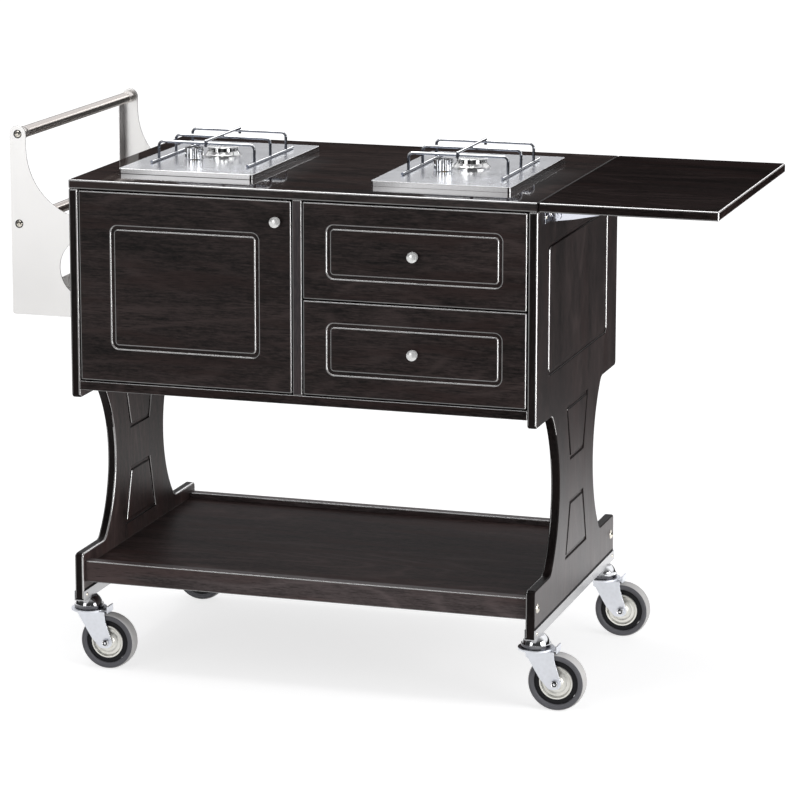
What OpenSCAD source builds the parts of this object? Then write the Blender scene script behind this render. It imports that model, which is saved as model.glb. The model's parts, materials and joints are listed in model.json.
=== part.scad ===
// Flambe cart: a serving trolley with two gas hobs, a door, two drawers, a drop leaf and a bottle rack.
// X runs along the cart with +X to the drop leaf, Y runs from the front to the back, Z is up from the floor.
// The pieces are drawn from the left side panel's outer face, the front and the floor, then centred.

/* [Overall] */
// Height of the work top above the floor
top_h = 880; // [840:1:940]
// Length of the cabinet over its two side panels
cart_w = 836; // [800:1:920]
// Depth of the cabinet, front to back
cart_d = 558; // [530:1:620]
// Thickness of the veneered boards
board_t = 16; // [15:0.5:19]

/* [Side panels] */
// Height of the lower edge of the cabinet part of a side panel
cab_bottom_h = 496; // [470:1:520]
// Height of the top of the foot
foot_h = 216; // [205:1:235]
// How far the leg is drawn in at its waist
waist_in = 161; // [150:1:175]
// Radius of the waist curve
waist_r = 206; // [200:1:240]
// Radius of the inner corners of the waist
waist_fillet_r = 22; // [12:1:30]
// Radius of the panel's outer corners
corner_r = 8; // [4:0.5:12]
// Wide side of the routed trapezoids
trap_wide = 146; // [120:1:160]
// Narrow side of the routed trapezoids
trap_narrow = 93; // [70:1:110]
// Height of the routed trapezoids
trap_h = 98; // [80:1:105]
// Distance between the two trapezoids of a panel
trap_apart = 75; // [60:1:80]

/* [Routed lines] */
// Width of a routed line
groove_w = 5; // [3:0.5:7]
// Depth of a routed line
groove_deep = 2.5; // [1.5:0.25:3]
// Outer corner radius of a routed frame
groove_r = 12; // [9:0.5:16]
// Margin of the routed frame on the door
door_margin = 59; // [40:1:70]
// Margin of the routed frames on the drawers, above and below them
drawer_margin = 38; // [28:1:45]
// Margin of the routed frames on the drawers, at their sides
drawer_side_margin = 43; // [28:1:60]
// Margin of the routed frame on the right side panel
panel_margin = 76; // [60:1:90]
// Margin above that frame, below the work top
panel_margin_top = 66; // [50:1:80]

/* [Cabinet] */
// Distance of the bottom board above the side panels' cabinet edge
bottom_rise = 15; // [8:1:25]
// Distance from the left panel's outer face to the divider
divider_x = 407; // [380:1:440]
// Gap round the door and the drawer fronts
front_gap = 2.5; // [2:0.25:4]
// Height of the upper drawer's front
upper_front_h = 166; // [140:1:180]
// Thickness of the back panel
back_t = 8; // [5:0.5:10]
// How far the back panel lies in from the side panels' rear edges
back_in = 2; // [0:0.5:8]

/* [Door fittings] */
// Diameter of the door's and the drawers' knobs
knob_d = 18; // [15:0.5:22]
// How far a knob stands out
knob_l = 14; // [12:0.5:20]
// Distance of the door knob from the door's side
knob_in = 26; // [20:1:42]
// Distance of the door knob below the door's top edge
knob_down = 36; // [26:1:46]
// Diameter of the hinge cups
cup_d = 35; // [26:1:35]
// Depth of the hinge cups
cup_deep = 11.5; // [10:0.5:12]
// Distance of the hinge cups from the door's top and bottom edges
cup_in = 80; // [60:1:110]

/* [Drawers] */
// Thickness of a drawer box's sides
drawer_side_t = 12; // [10:0.5:14]
// Thickness of a drawer box's floor
drawer_floor_t = 8; // [5:0.5:10]
// Distance of a drawer box's top below the upper edge of its front
drawer_box_drop = 39.5; // [34:0.5:60]
// Length of a drawer box behind its front
drawer_box_l = 470; // [420:1:490]
// Distance of a drawer box above the lower edge of its front
drawer_box_rise = 8; // [5:1:14]
// Height of a drawer slide
slide_h = 45; // [35:1:46]
// Thickness of a drawer slide from the cabinet side to the drawer side
slide_t = 12.7; // [12:0.1:14]
// Sheet thickness of a drawer slide
slide_sheet = 1.5; // [1.2:0.1:2]
// Length of a drawer slide
slide_l = 450; // [400:1:465]

/* [Shelf] */
// Height of the lower shelf's top face
shelf_h = 191; // [180:1:196]
// Height of the shelf's rails
rail_h = 38; // [32:1:42]
// Thickness of the shelf's rails
rail_t = 20; // [16:0.5:26]
// How far the rails stand above the shelf
rail_lip = 10; // [6:0.5:14]
// How far the rails lie in from the side panels' edges
rail_in = 10; // [5:0.5:16]
// Diameter of the heads of the shelf bolts
bolt_head_d = 17; // [14:0.5:20]
// Diameter of the shelf bolts
bolt_d = 6; // [5:0.5:8]
// Length of the shelf bolts in the rails
bolt_l = 40; // [30:1:60]

/* [Drop leaf] */
// Length of the drop leaf
leaf_l = 303.5; // [260:0.5:360]
// Gap between the work top and the leaf
leaf_gap = 0.5; // [0.3:0.1:2]
// Depth of the leaf's pivot below the leaf
pivot_drop = 14; // [13:0.5:16]
// Distance of the leaf's pivot from the side panel
pivot_out = 14; // [13:0.5:16]
// Distance of the brackets from the front and back edges
bracket_in = 72; // [60:1:110]
// Length of the bracket arms along the leaf
arm_l = 150; // [110:1:200]
// Width of the bracket arms on the leaf
arm_w = 36; // [32:1:44]
// Diameter of the brackets' pivot pins
pin_d = 6; // [5:0.5:7]
// Sheet thickness of the brackets
bracket_sheet = 2; // [1.5:0.25:2.5]

/* [Bottle rack] */
// How far the rack stands out from the side panel
rack_out = 114; // [100:1:130]
// Height of the rack's lower edge
rack_bottom_h = 635; // [600:1:660]
// Height of the push handle's axis
handle_h = 952; // [930:1:980]
// Height of the bottle rail's axis
rail_axis_h = 795; // [760:1:800]
// Diameter of the push handle and the bottle rail
tube_d = 20; // [18:0.5:24]
// Wall of the tubes
tube_wall = 1.5; // [1:0.25:2]
// Distance of the rack plates from the cabinet's front and back
plate_in = 15; // [8:1:25]
// Radius of the lower corners of the rack plates
rack_corner_r = 4; // [2:0.5:10]
// Sheet thickness of the rack
rack_sheet = 2; // [1.5:0.25:2.5]
// Width of the plates' arm up to the handle
plate_arm_w = 30; // [28:1:36]
// Distance of the concave edge's lower end above the hand notch
plate_land = 46.6; // [38:0.1:60]
// Width of the plates' folded edges
plate_fold = 24; // [18:1:30]
// Radius of the hand notch in the rack plates
notch_r = 54; // [46:1:56]
// How far the hand notch reaches into the plates
notch_deep = 24; // [18:1:30]
// Height of the middle of the hand notch above the rack's lower edge
notch_up = 87; // [70:1:95]
// Height of the tray's lips
tray_lip = 26; // [20:1:36]

/* [Hobs] */
// Width of a hob plate
hob_w = 248; // [236:1:270]
// Depth of a hob plate
hob_d = 364; // [340:1:380]
// Height of a hob plate above the work top
hob_h = 9; // [7:0.5:12]
// Sheet thickness of a hob plate
hob_sheet = 1.5; // [1:0.25:2]
// Distance of the left hob's middle from the left side panel's outer face
hob_left_x = 181; // [165:1:195]
// Distance between the middles of the two hobs
hob_apart = 460; // [440:1:480]
// Distance of the hobs' middles from the front
hob_y = 270; // [255:1:285]
// Distance of the burner behind the hob's middle
burner_back = 10; // [0:1:20]
// Diameter of the burner cap
cap_d = 57; // [50:1:62]
// Height of the burner cap
cap_h = 9; // [7:0.5:12]
// Height of the burner body above the plate
burner_h = 10; // [8:0.5:12]
// Width of the pan support
support_w = 178; // [160:1:190]
// Distance between the pan support's cross rods
support_step = 84; // [76:1:100]
// How far the rods on the plate reach past the outer cross rods
support_over = 36; // [12:1:45]
// Height of the pan support above the hob plate
support_h = 37; // [34:0.5:44]
// Diameter of the pan support's rods
rod_d = 5; // [4:0.5:6]
// Diameter of the hob knobs
tap_knob_d = 34; // [30:1:40]
// Height of the hob knobs
tap_knob_h = 19; // [16:0.5:24]
// Distance of a hob knob to the left of its burner
tap_left = 38; // [37:1:48]
// Distance of a hob knob in front of its burner
tap_front = 44; // [42:1:55]
// Diameter of a gas tap's spindle
spindle_d = 8; // [6:0.5:10]
// Diameter of the gas pipe
gas_d = 10; // [8:0.5:12]

/* [Castors] */
// Height of the castors
castor_h = 130; // [128:1:135]
// Diameter of the wheels
wheel_d = 100; // [96:1:101]
// Width of the tyres
tyre_w = 26; // [22:1:28]
// Radius of the wheel's core inside the tyre
core_r = 38.5; // [36:0.5:41]
// Radius of the wheel's dished cover
cover_r = 29; // [26:0.5:31]
// Distance of the axle behind the castor's pivot
trail = 38; // [34:1:40]
// Distance of the castors' pivots from the cabinet's front and back
castor_in = 44; // [42:1:60]
// Diameter of the swivel ring
ring_d = 63; // [58:1:66]
// Diameter of the domed castor head
dome_d = 49; // [44:1:52]
// Diameter of a castor's stem
stem_d = 10; // [8:0.5:11]
// Length of a castor's stem above the foot channel
stem_l = 24; // [18:1:30]
// Diameter of a castor's kingpin
kingpin_d = 12; // [10:0.5:14]
// Diameter of a wheel's axle
axle_d = 8; // [6:0.5:10]
// Sheet thickness of a fork
fork_t = 2.5; // [2:0.25:3]
// Sheet thickness of the foot channels
channel_t = 1.5; // [1.2:0.1:2]
// Height of the foot channels' sides above their base
channel_side = 16; // [12:1:20]

/* [Hidden] */
$fn = 64;

WOOD = "#2c2523";
STEEL = "#c9cacb";
CHROME = "#dfe1e4";
ZINC = "#b9bcc0";
RUBBER = "#77777d";
INSIDE = "#c8b48f";

// Clearance of a pin or a shaft in its bore, on the radius
fit = 0.05;
// Clearance between parts that move past each other
run = 0.3;
// Clearance of a wheel's core in its tyre
core_fit = 0.8;
// Overlap that keeps a cut clear of the face it starts at
cut = 1;
// Depth to which welded rods sink into each other
weld = 0.8;

// Heights that follow from the sizes above
top_under = top_h - board_t;
panel_bottom = castor_h + channel_t;
floor_top = cab_bottom_h + bottom_rise + board_t;
inner_x1 = cart_w - board_t;
divider_x1 = divider_x + board_t;
back_y = cart_d - back_in - back_t;

// Door and drawer fronts
front_z0 = floor_top + front_gap;
front_z1 = top_under - front_gap;
door_x0 = board_t + front_gap;
door_x1 = divider_x - front_gap;
drawer_x0 = divider_x1 + front_gap;
drawer_x1 = inner_x1 - front_gap;
upper_z0 = front_z1 - upper_front_h;
lower_z1 = upper_z0 - front_gap;
box_x0 = divider_x1 + slide_t;
box_x1 = inner_x1 - slide_t;
upper_box_h = upper_front_h - drawer_box_rise - drawer_box_drop;
lower_box_h = lower_z1 - front_z0 - drawer_box_rise - drawer_box_drop;

// Waist curve and its fillets
waist_mid = (cab_bottom_h + foot_h) / 2;
waist_c = waist_in - waist_r;
fillet_dz = cab_bottom_h - waist_fillet_r - waist_mid;
// The fillet crosses the waist curve a little, so that the two arcs have a clear corner
fillet_over = 0.1;
fillet_y = waist_c + sqrt(pow(waist_r - waist_fillet_r, 2) - pow(fillet_dz, 2)) + fillet_over;
tangent_dz = fillet_dz * waist_r / (waist_r - waist_fillet_r);

// Shelf
rail_top = shelf_h + rail_lip;
rail_mid_y = rail_in + rail_t / 2;
rail_mid_z = rail_top - rail_h / 2;
bolt_head_t = 4;
bolt_yz = [[rail_mid_y, rail_mid_z], [cart_d - rail_mid_y, rail_mid_z]];

// Leaf pivot
leaf_x0 = cart_w + leaf_gap;
leaf_x1 = leaf_x0 + leaf_l;
pivot_x = cart_w + pivot_out;
pivot_z = top_under - pivot_drop;
bracket_ys = [bracket_in, cart_d - bracket_in];
eye_r = 9.5;
ear_gap = 18;
wall_plate_w = 64;
wall_plate_h = 24;

// Rack
tube_x = -rack_out + plate_arm_w / 2;
rack_y0 = plate_in;
rack_y1 = cart_d - plate_in;
arm_drop = 24;
curve_top = handle_h - arm_drop;
fold_top = handle_h - tube_d / 2;
plug_l = 20;
rack_screw_d = 6;
rack_head_d = 12;
rack_head_t = 3;
notch_x = notch_r - notch_deep;
notch_h = rack_bottom_h + notch_up;
notch_half = sqrt(notch_r * notch_r - notch_x * notch_x);
notch_top = notch_h + notch_half;
// The concave edge runs from the arm down to its end at the side panel
curve_end = notch_top + plate_land;
arm_x1 = -rack_out + plate_arm_w;
plate_curve_r = (pow(curve_top - curve_end, 2) + arm_x1 * arm_x1) / (-2 * arm_x1);

// Hobs
hob_top = top_h + hob_h;
hob_xs = [hob_left_x, hob_left_x + hob_apart];
burner_y = hob_y + burner_back;
tap_y = burner_y - tap_front;
hob_corner_r = 6;
hob_cut_in = 20;
spigot_d = cap_d - 21;
throat_d = 40;
tap_body = 26;
tap_drop = 44;
cup_floor = 16;
feed_in = 6;
pipe_z = hob_top - hob_sheet - tap_drop + cup_floor / 2;
feed = sqrt(tap_left * tap_left + tap_front * tap_front);
feed_turn = atan2(tap_front, tap_left);

// Castors
castor_xs = [board_t / 2, cart_w - board_t / 2];
castor_ys = [castor_in, cart_d - castor_in];
axle_h = wheel_d / 2;
crown_t = 4;
crown_top = castor_h - 22;
crown_under = crown_top - crown_t;
hub_half = tyre_w / 2 + 1.5;
fork_in = hub_half + 1;
tab_w = 26;
tab_x = ring_d / 2 + 9;
kingpin_head_t = 3.5;
blade_back = 27;
race_h = 7;

// The origin is in the middle of the whole cart's length and depth, on the floor
origin_x = (leaf_x1 - rack_out) / 2;
origin_y = (cart_d - knob_l) / 2;

// Moves a piece from the drawing's corner to the part's origin
module cart() {
    translate([-origin_x, -origin_y, 0]) children();
}

// A rectangle with round corners
module soft_rect(x, y, w, h, r) {
    translate([x + r, y]) square([w - 2 * r, h]);
    translate([x, y + r]) square([w, h - 2 * r]);
    for (cx = [x + r, x + w - r], cy = [y + r, y + h - r]) {
        translate([cx, cy]) circle(r);
    }
}

// Stands an outline drawn in Y and Z up as a plate that starts at x
module yz_plate(x, t) {
    translate([x, 0, 0]) rotate([90, 0, 90]) linear_extrude(t) children();
}

// Stands an outline drawn in X and Z up as a plate that starts at y
module xz_plate(y, t) {
    translate([0, y + t, 0]) rotate([90, 0, 0]) linear_extrude(t) children();
}

// A box between two corners
module block(lo, hi) {
    translate(lo) cube(hi - lo);
}

// A cylinder along X, Y or Z that starts at a point
module rod_x(p, d, l) {
    translate(p) rotate([0, 90, 0]) cylinder(d = d, h = l);
}

module rod_y(p, d, l) {
    translate(p) rotate([-90, 0, 0]) cylinder(d = d, h = l);
}

module rod_z(p, d, l) {
    translate(p) cylinder(d = d, h = l);
}

// A routed frame with round corners
module frame_line(x, y, w, h) {
    difference() {
        soft_rect(x, y, w, h, groove_r);
        soft_rect(x + groove_w, y + groove_w, w - 2 * groove_w, h - 2 * groove_w, groove_r - groove_w);
    }
}

// A trapezoid about the leg's middle line, from its narrow side at z0 upwards or downwards
module trapezoid(z0, narrow, wide, h, up) {
    mid = cart_d / 2;
    polygon([
        [mid - narrow / 2, z0], [mid + narrow / 2, z0],
        [mid + wide / 2, z0 + up * h], [mid - wide / 2, z0 + up * h]
    ]);
}

// The routed line of one trapezoid
module trapezoid_line(up) {
    z0 = waist_mid + up * trap_apart / 2;
    difference() {
        trapezoid(z0, trap_narrow, trap_wide, trap_h, up);
        trapezoid(z0 + up * groove_w, trap_narrow - 2 * groove_w, trap_wide - 2 * groove_w,
            trap_h - 2 * groove_w, up);
    }
}

// The hollow of the waist on the front edge
module waist_hollow() {
    translate([fillet_y, waist_mid + fillet_dz]) circle(waist_fillet_r);
    translate([fillet_y, waist_mid - fillet_dz]) circle(waist_fillet_r);
    intersection() {
        translate([waist_c, waist_mid]) circle(waist_r, $fn = 128);
        translate([0, waist_mid - tangent_dz]) square([waist_in + cut, 2 * tangent_dz]);
    }
}

// The outline of a side panel in Y and Z, from the foot to the work top
module panel_outline() {
    soft_rect(0, panel_bottom, cart_d, foot_h - panel_bottom, corner_r);
    translate([0, panel_bottom]) square([cart_d, 2 * corner_r]);
    soft_rect(0, cab_bottom_h, cart_d, top_under - cab_bottom_h, corner_r);
    translate([0, top_under - 2 * corner_r]) square([cart_d, 2 * corner_r]);
    difference() {
        translate([fillet_y, foot_h - corner_r])
            square([cart_d - 2 * fillet_y, cab_bottom_h - foot_h + 2 * corner_r]);
        waist_hollow();
        translate([cart_d, 0]) mirror([1, 0]) waist_hollow();
    }
}

// A side panel with its bores; its outer face has the framed line
module side_panel(x, outer) {
    difference() {
        yz_plate(x, board_t) panel_outline();
        for (face = [x - cut, x + board_t - groove_deep]) {
            yz_plate(face, groove_deep + cut) {
                trapezoid_line(1);
                trapezoid_line(-1);
            }
        }
        yz_plate(outer > 0 ? x + board_t - groove_deep : x - cut, groove_deep + cut)
            frame_line(panel_margin, cab_bottom_h + panel_margin, cart_d - 2 * panel_margin,
                top_under - panel_margin_top - cab_bottom_h - panel_margin);
        for (p = bolt_yz) {
            rod_x([x - cut, p[0], p[1]], bolt_d + 2 * fit, board_t + 2 * cut);
        }
        for (y = castor_ys) {
            rod_z([x + board_t / 2, y, panel_bottom - cut], stem_d + 2 * fit, stem_l + cut);
        }
        for (y = channel_screw_ys) {
            rod_x([x - cut, y, channel_screw_z], small_screw_d + 2 * fit, board_t + 2 * cut);
        }
    }
}

module left_side_panel() {
    color(WOOD) cart() difference() {
        side_panel(0, -1);
        for (p = rack_fixings()) {
            rod_x([-cut, p[0], p[1]], rack_screw_d + 2 * fit, board_t - 2);
        }
    }
}

module right_side_panel() {
    color(WOOD) cart() side_panel(cart_w - board_t, 1);
}

// The work top, cut out under each hob
module top_board() {
    color(WOOD) cart() difference() {
        block([0, 0, top_under], [cart_w, cart_d, top_h]);
        for (x = hob_xs) {
            translate([0, 0, top_under - cut]) linear_extrude(board_t + 2 * cut)
                soft_rect(x - hob_w / 2 + hob_cut_in, hob_y - hob_d / 2 + hob_cut_in,
                    hob_w - 2 * hob_cut_in, hob_d - 2 * hob_cut_in, hob_corner_r);
        }
    }
}

module bottom_board() {
    color(WOOD) cart() block([board_t, 0, floor_top - board_t], [inner_x1, back_y, floor_top]);
}

// The upright between the door and the drawers, bored for the gas pipe
module centre_divider() {
    color(WOOD) cart() difference() {
        block([divider_x, 0, floor_top], [divider_x1, back_y, top_under]);
        rod_x([divider_x - cut, tap_y, pipe_z], gas_d + 2, board_t + 2 * cut);
    }
}

module back_panel() {
    color(WOOD) cart() block([board_t, back_y, floor_top - board_t], [inner_x1, back_y + back_t, top_under]);
}

module shelf_board() {
    y = rail_in + rail_t;
    color(WOOD) cart() block([board_t, y, shelf_h - board_t], [inner_x1, cart_d - y, shelf_h]);
}

// A shelf rail with the bolt holes in its ends
module shelf_rail(y) {
    difference() {
        block([board_t, y, rail_top - rail_h], [inner_x1, y + rail_t, rail_top]);
        for (x = [board_t - cut, inner_x1 - bolt_l]) {
            rod_x([x, y + rail_t / 2, rail_mid_z], bolt_d + 2 * fit, bolt_l + cut);
        }
    }
}

module shelf_front_rail() {
    color(WOOD) cart() shelf_rail(rail_in);
}

module shelf_back_rail() {
    color(WOOD) cart() shelf_rail(cart_d - rail_in - rail_t);
}

// A domed screw head with a cross slot; the shank runs along -Z from the head's seat
module screw(head_d, head_t, d, l) {
    dome_r = (pow(head_d / 2, 2) + head_t * head_t) / (2 * head_t);
    difference() {
        intersection() {
            translate([0, 0, head_t - dome_r]) sphere(dome_r);
            cylinder(d = head_d, h = head_t);
        }
        for (a = [0, 90]) {
            rotate([0, 0, a]) translate([-head_d / 4, -head_t / 6, head_t / 2])
                cube([head_d / 2, head_t / 3, head_t]);
        }
    }
    translate([0, 0, -l]) cylinder(d = d, h = l + head_t / 4);
}

module shelf_bolts() {
    color(CHROME) cart() for (p = bolt_yz) {
        translate([0, p[0], p[1]]) rotate([0, -90, 0])
            screw(bolt_head_d, bolt_head_t, bolt_d, board_t + bolt_l - 2);
        translate([cart_w, p[0], p[1]]) rotate([0, 90, 0])
            screw(bolt_head_d, bolt_head_t, bolt_d, board_t + bolt_l - 2);
    }
}

// Places of the small screws in the channels' sides
channel_screw_z = castor_h + channel_t + channel_side / 2;
channel_screw_ys = [13, cart_d - 13];
small_screw_d = 3;
small_screw_l = 8;
small_head_d = 7;
small_head_t = 1.8;

// The steel channel that wraps the lower edge of each side panel
module foot_channels() {
    color(ZINC) cart() for (x = [0, cart_w - board_t]) {
        difference() {
            block([x - channel_t, 0, castor_h], [x + board_t + channel_t, cart_d, panel_bottom + channel_side]);
            block([x, -cut, panel_bottom], [x + board_t, cart_d + cut, panel_bottom + channel_side + cut]);
            for (y = castor_ys) {
                rod_z([x + board_t / 2, y, castor_h - cut], stem_d + 2 * fit, channel_t + 2 * cut);
            }
            for (y = channel_screw_ys) {
                rod_x([x - channel_t - cut, y, channel_screw_z], small_screw_d + 2 * fit,
                    board_t + 2 * channel_t + 2 * cut);
            }
        }
    }
}

module channel_screws() {
    color(CHROME) cart() for (x = [0, cart_w - board_t], y = channel_screw_ys) {
        translate([x - channel_t, y, channel_screw_z]) rotate([0, -90, 0])
            screw(small_head_d, small_head_t, small_screw_d, small_screw_l);
        translate([x + board_t + channel_t, y, channel_screw_z]) rotate([0, 90, 0])
            screw(small_head_d, small_head_t, small_screw_d, small_screw_l);
    }
}

// A front board with its routed frame and the bore for its knob
module front_board(x0, x1, z0, z1, margin_x, margin_z, knob) {
    difference() {
        block([x0, 0, z0], [x1, board_t, z1]);
        xz_plate(-cut, groove_deep + cut)
            frame_line(x0 + margin_x, z0 + margin_z, x1 - x0 - 2 * margin_x, z1 - z0 - 2 * margin_z);
        rod_y([knob[0], -cut, knob[1]], knob_screw_d + 2 * fit, board_t + 2 * cut);
    }
}

knob_screw_d = 4;
knob_foot_d = 9;
door_knob_at = [door_x1 - knob_in, front_z1 - knob_down];
drawer_mid_x = (drawer_x0 + drawer_x1) / 2;
upper_knob_at = [drawer_mid_x, (upper_z0 + front_z1) / 2];
lower_knob_at = [drawer_mid_x, (front_z0 + lower_z1) / 2];

// A turned knob on a slim foot, with its screw through the board
module knob(at) {
    head_l = knob_d / 2;
    translate([at[0], 0, at[1]]) rotate([90, 0, 0]) {
        cylinder(d = knob_foot_d, h = knob_l - head_l / 2);
        translate([0, 0, knob_l - head_l]) cylinder(d = knob_d, h = head_l * 0.6);
        intersection() {
            translate([0, 0, knob_l - knob_d]) sphere(knob_d);
            translate([0, 0, knob_l - head_l * 0.6]) cylinder(d = knob_d, h = head_l);
        }
        translate([0, 0, -board_t]) cylinder(d = knob_screw_d, h = board_t + cut);
        translate([0, 0, -board_t - 2]) cylinder(d = knob_foot_d, h = 2);
    }
}

cup_zs = [front_z0 + cup_in, front_z1 - cup_in];
cup_x = door_x0 + cup_d / 2 + 5;

module door_panel() {
    color(WOOD) cart() difference() {
        front_board(door_x0, door_x1, front_z0, front_z1, door_margin, door_margin, door_knob_at);
        for (z = cup_zs) {
            rod_y([cup_x, board_t - cup_deep, z], cup_d + 2 * fit, cup_deep + cut);
        }
    }
}

module door_knob() {
    color(CHROME) cart() knob(door_knob_at);
}

flange_t = 1.2;
flange_h = 52;
arm_x0 = board_t;
arm_back = 60;
hinge_base = 22;
hinge_base_l = 32;
hinge_base_h = 48;

// The hinge arms on the left side panel, ending in front of their cups
module door_hinge_arms() {
    color(ZINC) cart() for (z = cup_zs) {
        block([arm_x0, board_t + hinge_base, z - hinge_base_h / 2],
            [arm_x0 + 3, board_t + hinge_base + hinge_base_l, z + hinge_base_h / 2]);
        block([arm_x0 + 3, board_t + flange_t + run, z - 7], [arm_x0 + 11, board_t + arm_back, z + 7]);
    }
}

module door_hinge_cups() {
    color(ZINC) cart() for (z = cup_zs) {
        difference() {
            union() {
                rod_y([cup_x, board_t - cup_deep, z], cup_d, cup_deep);
                xz_plate(board_t, flange_t) soft_rect(cup_x - cup_d / 2 - 1, z - flange_h / 2,
                    cup_d + 8, flange_h, 6);
            }
            rod_y([cup_x, board_t - cup_deep + 1, z], cup_d - 3, cup_deep + flange_t);
        }
    }
}

catch_z = (front_z0 + front_z1) / 2;

strike_t = 1.5;
catch_w = 14;
catch_h = 44;

module door_catch() {
    color("#e8e6e0") cart() block([divider_x - catch_w, board_t + strike_t + run, catch_z - catch_h / 2],
        [divider_x, 2 * board_t, catch_z + catch_h / 2]);
}

module door_strike() {
    color(ZINC) cart() block([divider_x - catch_w - 1, board_t, catch_z - catch_h / 2 + 4],
        [door_x1 - 1, board_t + strike_t, catch_z + catch_h / 2 - 4]);
}

module upper_drawer_front() {
    color(WOOD) cart()
        front_board(drawer_x0, drawer_x1, upper_z0, front_z1, drawer_side_margin, drawer_margin, upper_knob_at);
}

module lower_drawer_front() {
    color(WOOD) cart()
        front_board(drawer_x0, drawer_x1, front_z0, lower_z1, drawer_side_margin, drawer_margin, lower_knob_at);
}

// An open box behind a drawer front, with a hollow for the knob's screw
module drawer_box(z, h, knob_z) {
    difference() {
        block([box_x0, board_t, z], [box_x1, board_t + drawer_box_l, z + h]);
        block([box_x0 + drawer_side_t, board_t + drawer_side_t, z + drawer_floor_t],
            [box_x1 - drawer_side_t, board_t + drawer_box_l - drawer_side_t, z + h + cut]);
        rod_y([drawer_mid_x, board_t - cut, knob_z], knob_foot_d + 2, drawer_side_t + 2 * cut);
    }
}

upper_box_z = upper_z0 + drawer_box_rise;
lower_box_z = front_z0 + drawer_box_rise;
upper_slide_z = upper_box_z + upper_box_h / 2;
lower_slide_z = lower_box_z + lower_box_h / 2;

module upper_drawer_box() {
    color(INSIDE) cart() drawer_box(upper_box_z, upper_box_h, upper_knob_at[1]);
}

module lower_drawer_box() {
    color(INSIDE) cart() drawer_box(lower_box_z, lower_box_h, lower_knob_at[1]);
}

module upper_drawer_knob() {
    color(CHROME) cart() knob(upper_knob_at);
}

module lower_drawer_knob() {
    color(CHROME) cart() knob(lower_knob_at);
}

// Section of a slide's channel in X and Z, open towards +X, with its web at x = 0
module slide_channel(h, t) {
    difference() {
        translate([0, -h / 2]) square([t, h]);
        translate([slide_sheet, -h / 2 + slide_sheet]) square([t, h - 2 * slide_sheet]);
    }
}

// The two channels that are screwed to a drawer box
module drawer_slides(z) {
    depth = slide_t - slide_sheet - run;
    translate([box_x0, 0, z]) mirror([1, 0, 0])
        xz_plate(board_t + 2, slide_l) slide_channel(slide_h - 2 * slide_sheet - 2 * run, depth);
    translate([box_x1, 0, z])
        xz_plate(board_t + 2, slide_l) slide_channel(slide_h - 2 * slide_sheet - 2 * run, depth);
}

module upper_drawer_slides() {
    color(ZINC) cart() drawer_slides(upper_slide_z);
}

module lower_drawer_slides() {
    color(ZINC) cart() drawer_slides(lower_slide_z);
}

// The four channels on the divider and the right side panel
module cabinet_slides() {
    depth = slide_t - slide_sheet - run;
    color(ZINC) cart() for (z = [upper_slide_z, lower_slide_z]) {
        translate([divider_x1, 0, z])
            xz_plate(board_t + 2, slide_l) slide_channel(slide_h, depth);
        translate([inner_x1, 0, z]) mirror([1, 0, 0])
            xz_plate(board_t + 2, slide_l) slide_channel(slide_h, depth);
    }
}

module drop_leaf() {
    color(WOOD) cart() block([leaf_x0, 0, top_under], [leaf_x1, cart_d, top_h]);
}

// An ear of a wall plate: it reaches from the panel to the pivot
module ear() {
    translate([cart_w, pivot_z - eye_r]) square([pivot_out, 2 * eye_r]);
    translate([pivot_x, pivot_z]) circle(eye_r);
}

// Wall plates with two ears each, and the pins riveted into them
module leaf_bracket_plates() {
    color(ZINC) cart() for (y = bracket_ys) {
        block([cart_w, y - wall_plate_w / 2, pivot_z - wall_plate_h / 2],
            [cart_w + bracket_sheet, y + wall_plate_w / 2, pivot_z + wall_plate_h / 2]);
        for (side = [-1, 1]) {
            xz_plate(y + side * (ear_gap / 2 + bracket_sheet / 2) - bracket_sheet / 2, bracket_sheet) ear();
        }
        rod_y([pivot_x, y - ear_gap / 2 - bracket_sheet - 2, pivot_z], pin_d, ear_gap + 2 * bracket_sheet + 4);
        for (side = [-1, 1]) {
            rod_y([pivot_x, y + side * (ear_gap / 2 + bracket_sheet + 1) - 1, pivot_z], pin_d + 4, 2);
        }
    }
}

// A tapering cheek of a bracket arm, from the eye to the tip under the leaf
module cheek() {
    difference() {
        union() {
            translate([pivot_x, pivot_z]) circle(eye_r);
            polygon([
                [pivot_x, pivot_z - eye_r], [pivot_x + arm_l * 0.2, pivot_z - eye_r * 0.6],
                [pivot_x + arm_l * 0.6, pivot_z + pivot_drop * 0.45],
                [pivot_x + arm_l, top_under - bracket_sheet],
                [pivot_x + arm_l, top_under], [pivot_x + pivot_drop, top_under],
                [pivot_x, pivot_z + eye_r]
            ]);
        }
        translate([pivot_x, pivot_z]) circle(d = pin_d + 2 * fit);
    }
}

module leaf_bracket_arms() {
    half = ear_gap / 2 - 1;
    color(ZINC) cart() for (y = bracket_ys) {
        for (side = [-1, 1]) {
            xz_plate(y + side * (half - bracket_sheet / 2) - bracket_sheet / 2, bracket_sheet) cheek();
        }
        block([pivot_x + pivot_drop, y - arm_w / 2, top_under - bracket_sheet],
            [pivot_x + arm_l, y + arm_w / 2, top_under]);
    }
}

// Screw places of the rack plates' inner folds, as Y and Z on the left side panel
function rack_fixings() = [
    for (y = [rack_y0 + plate_fold / 2 + rack_sheet, rack_y1 - plate_fold / 2 - rack_sheet],
        z = [rack_bottom_h + 14, notch_top + 12]) [y, z]
];

fold_h = 34;

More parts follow.
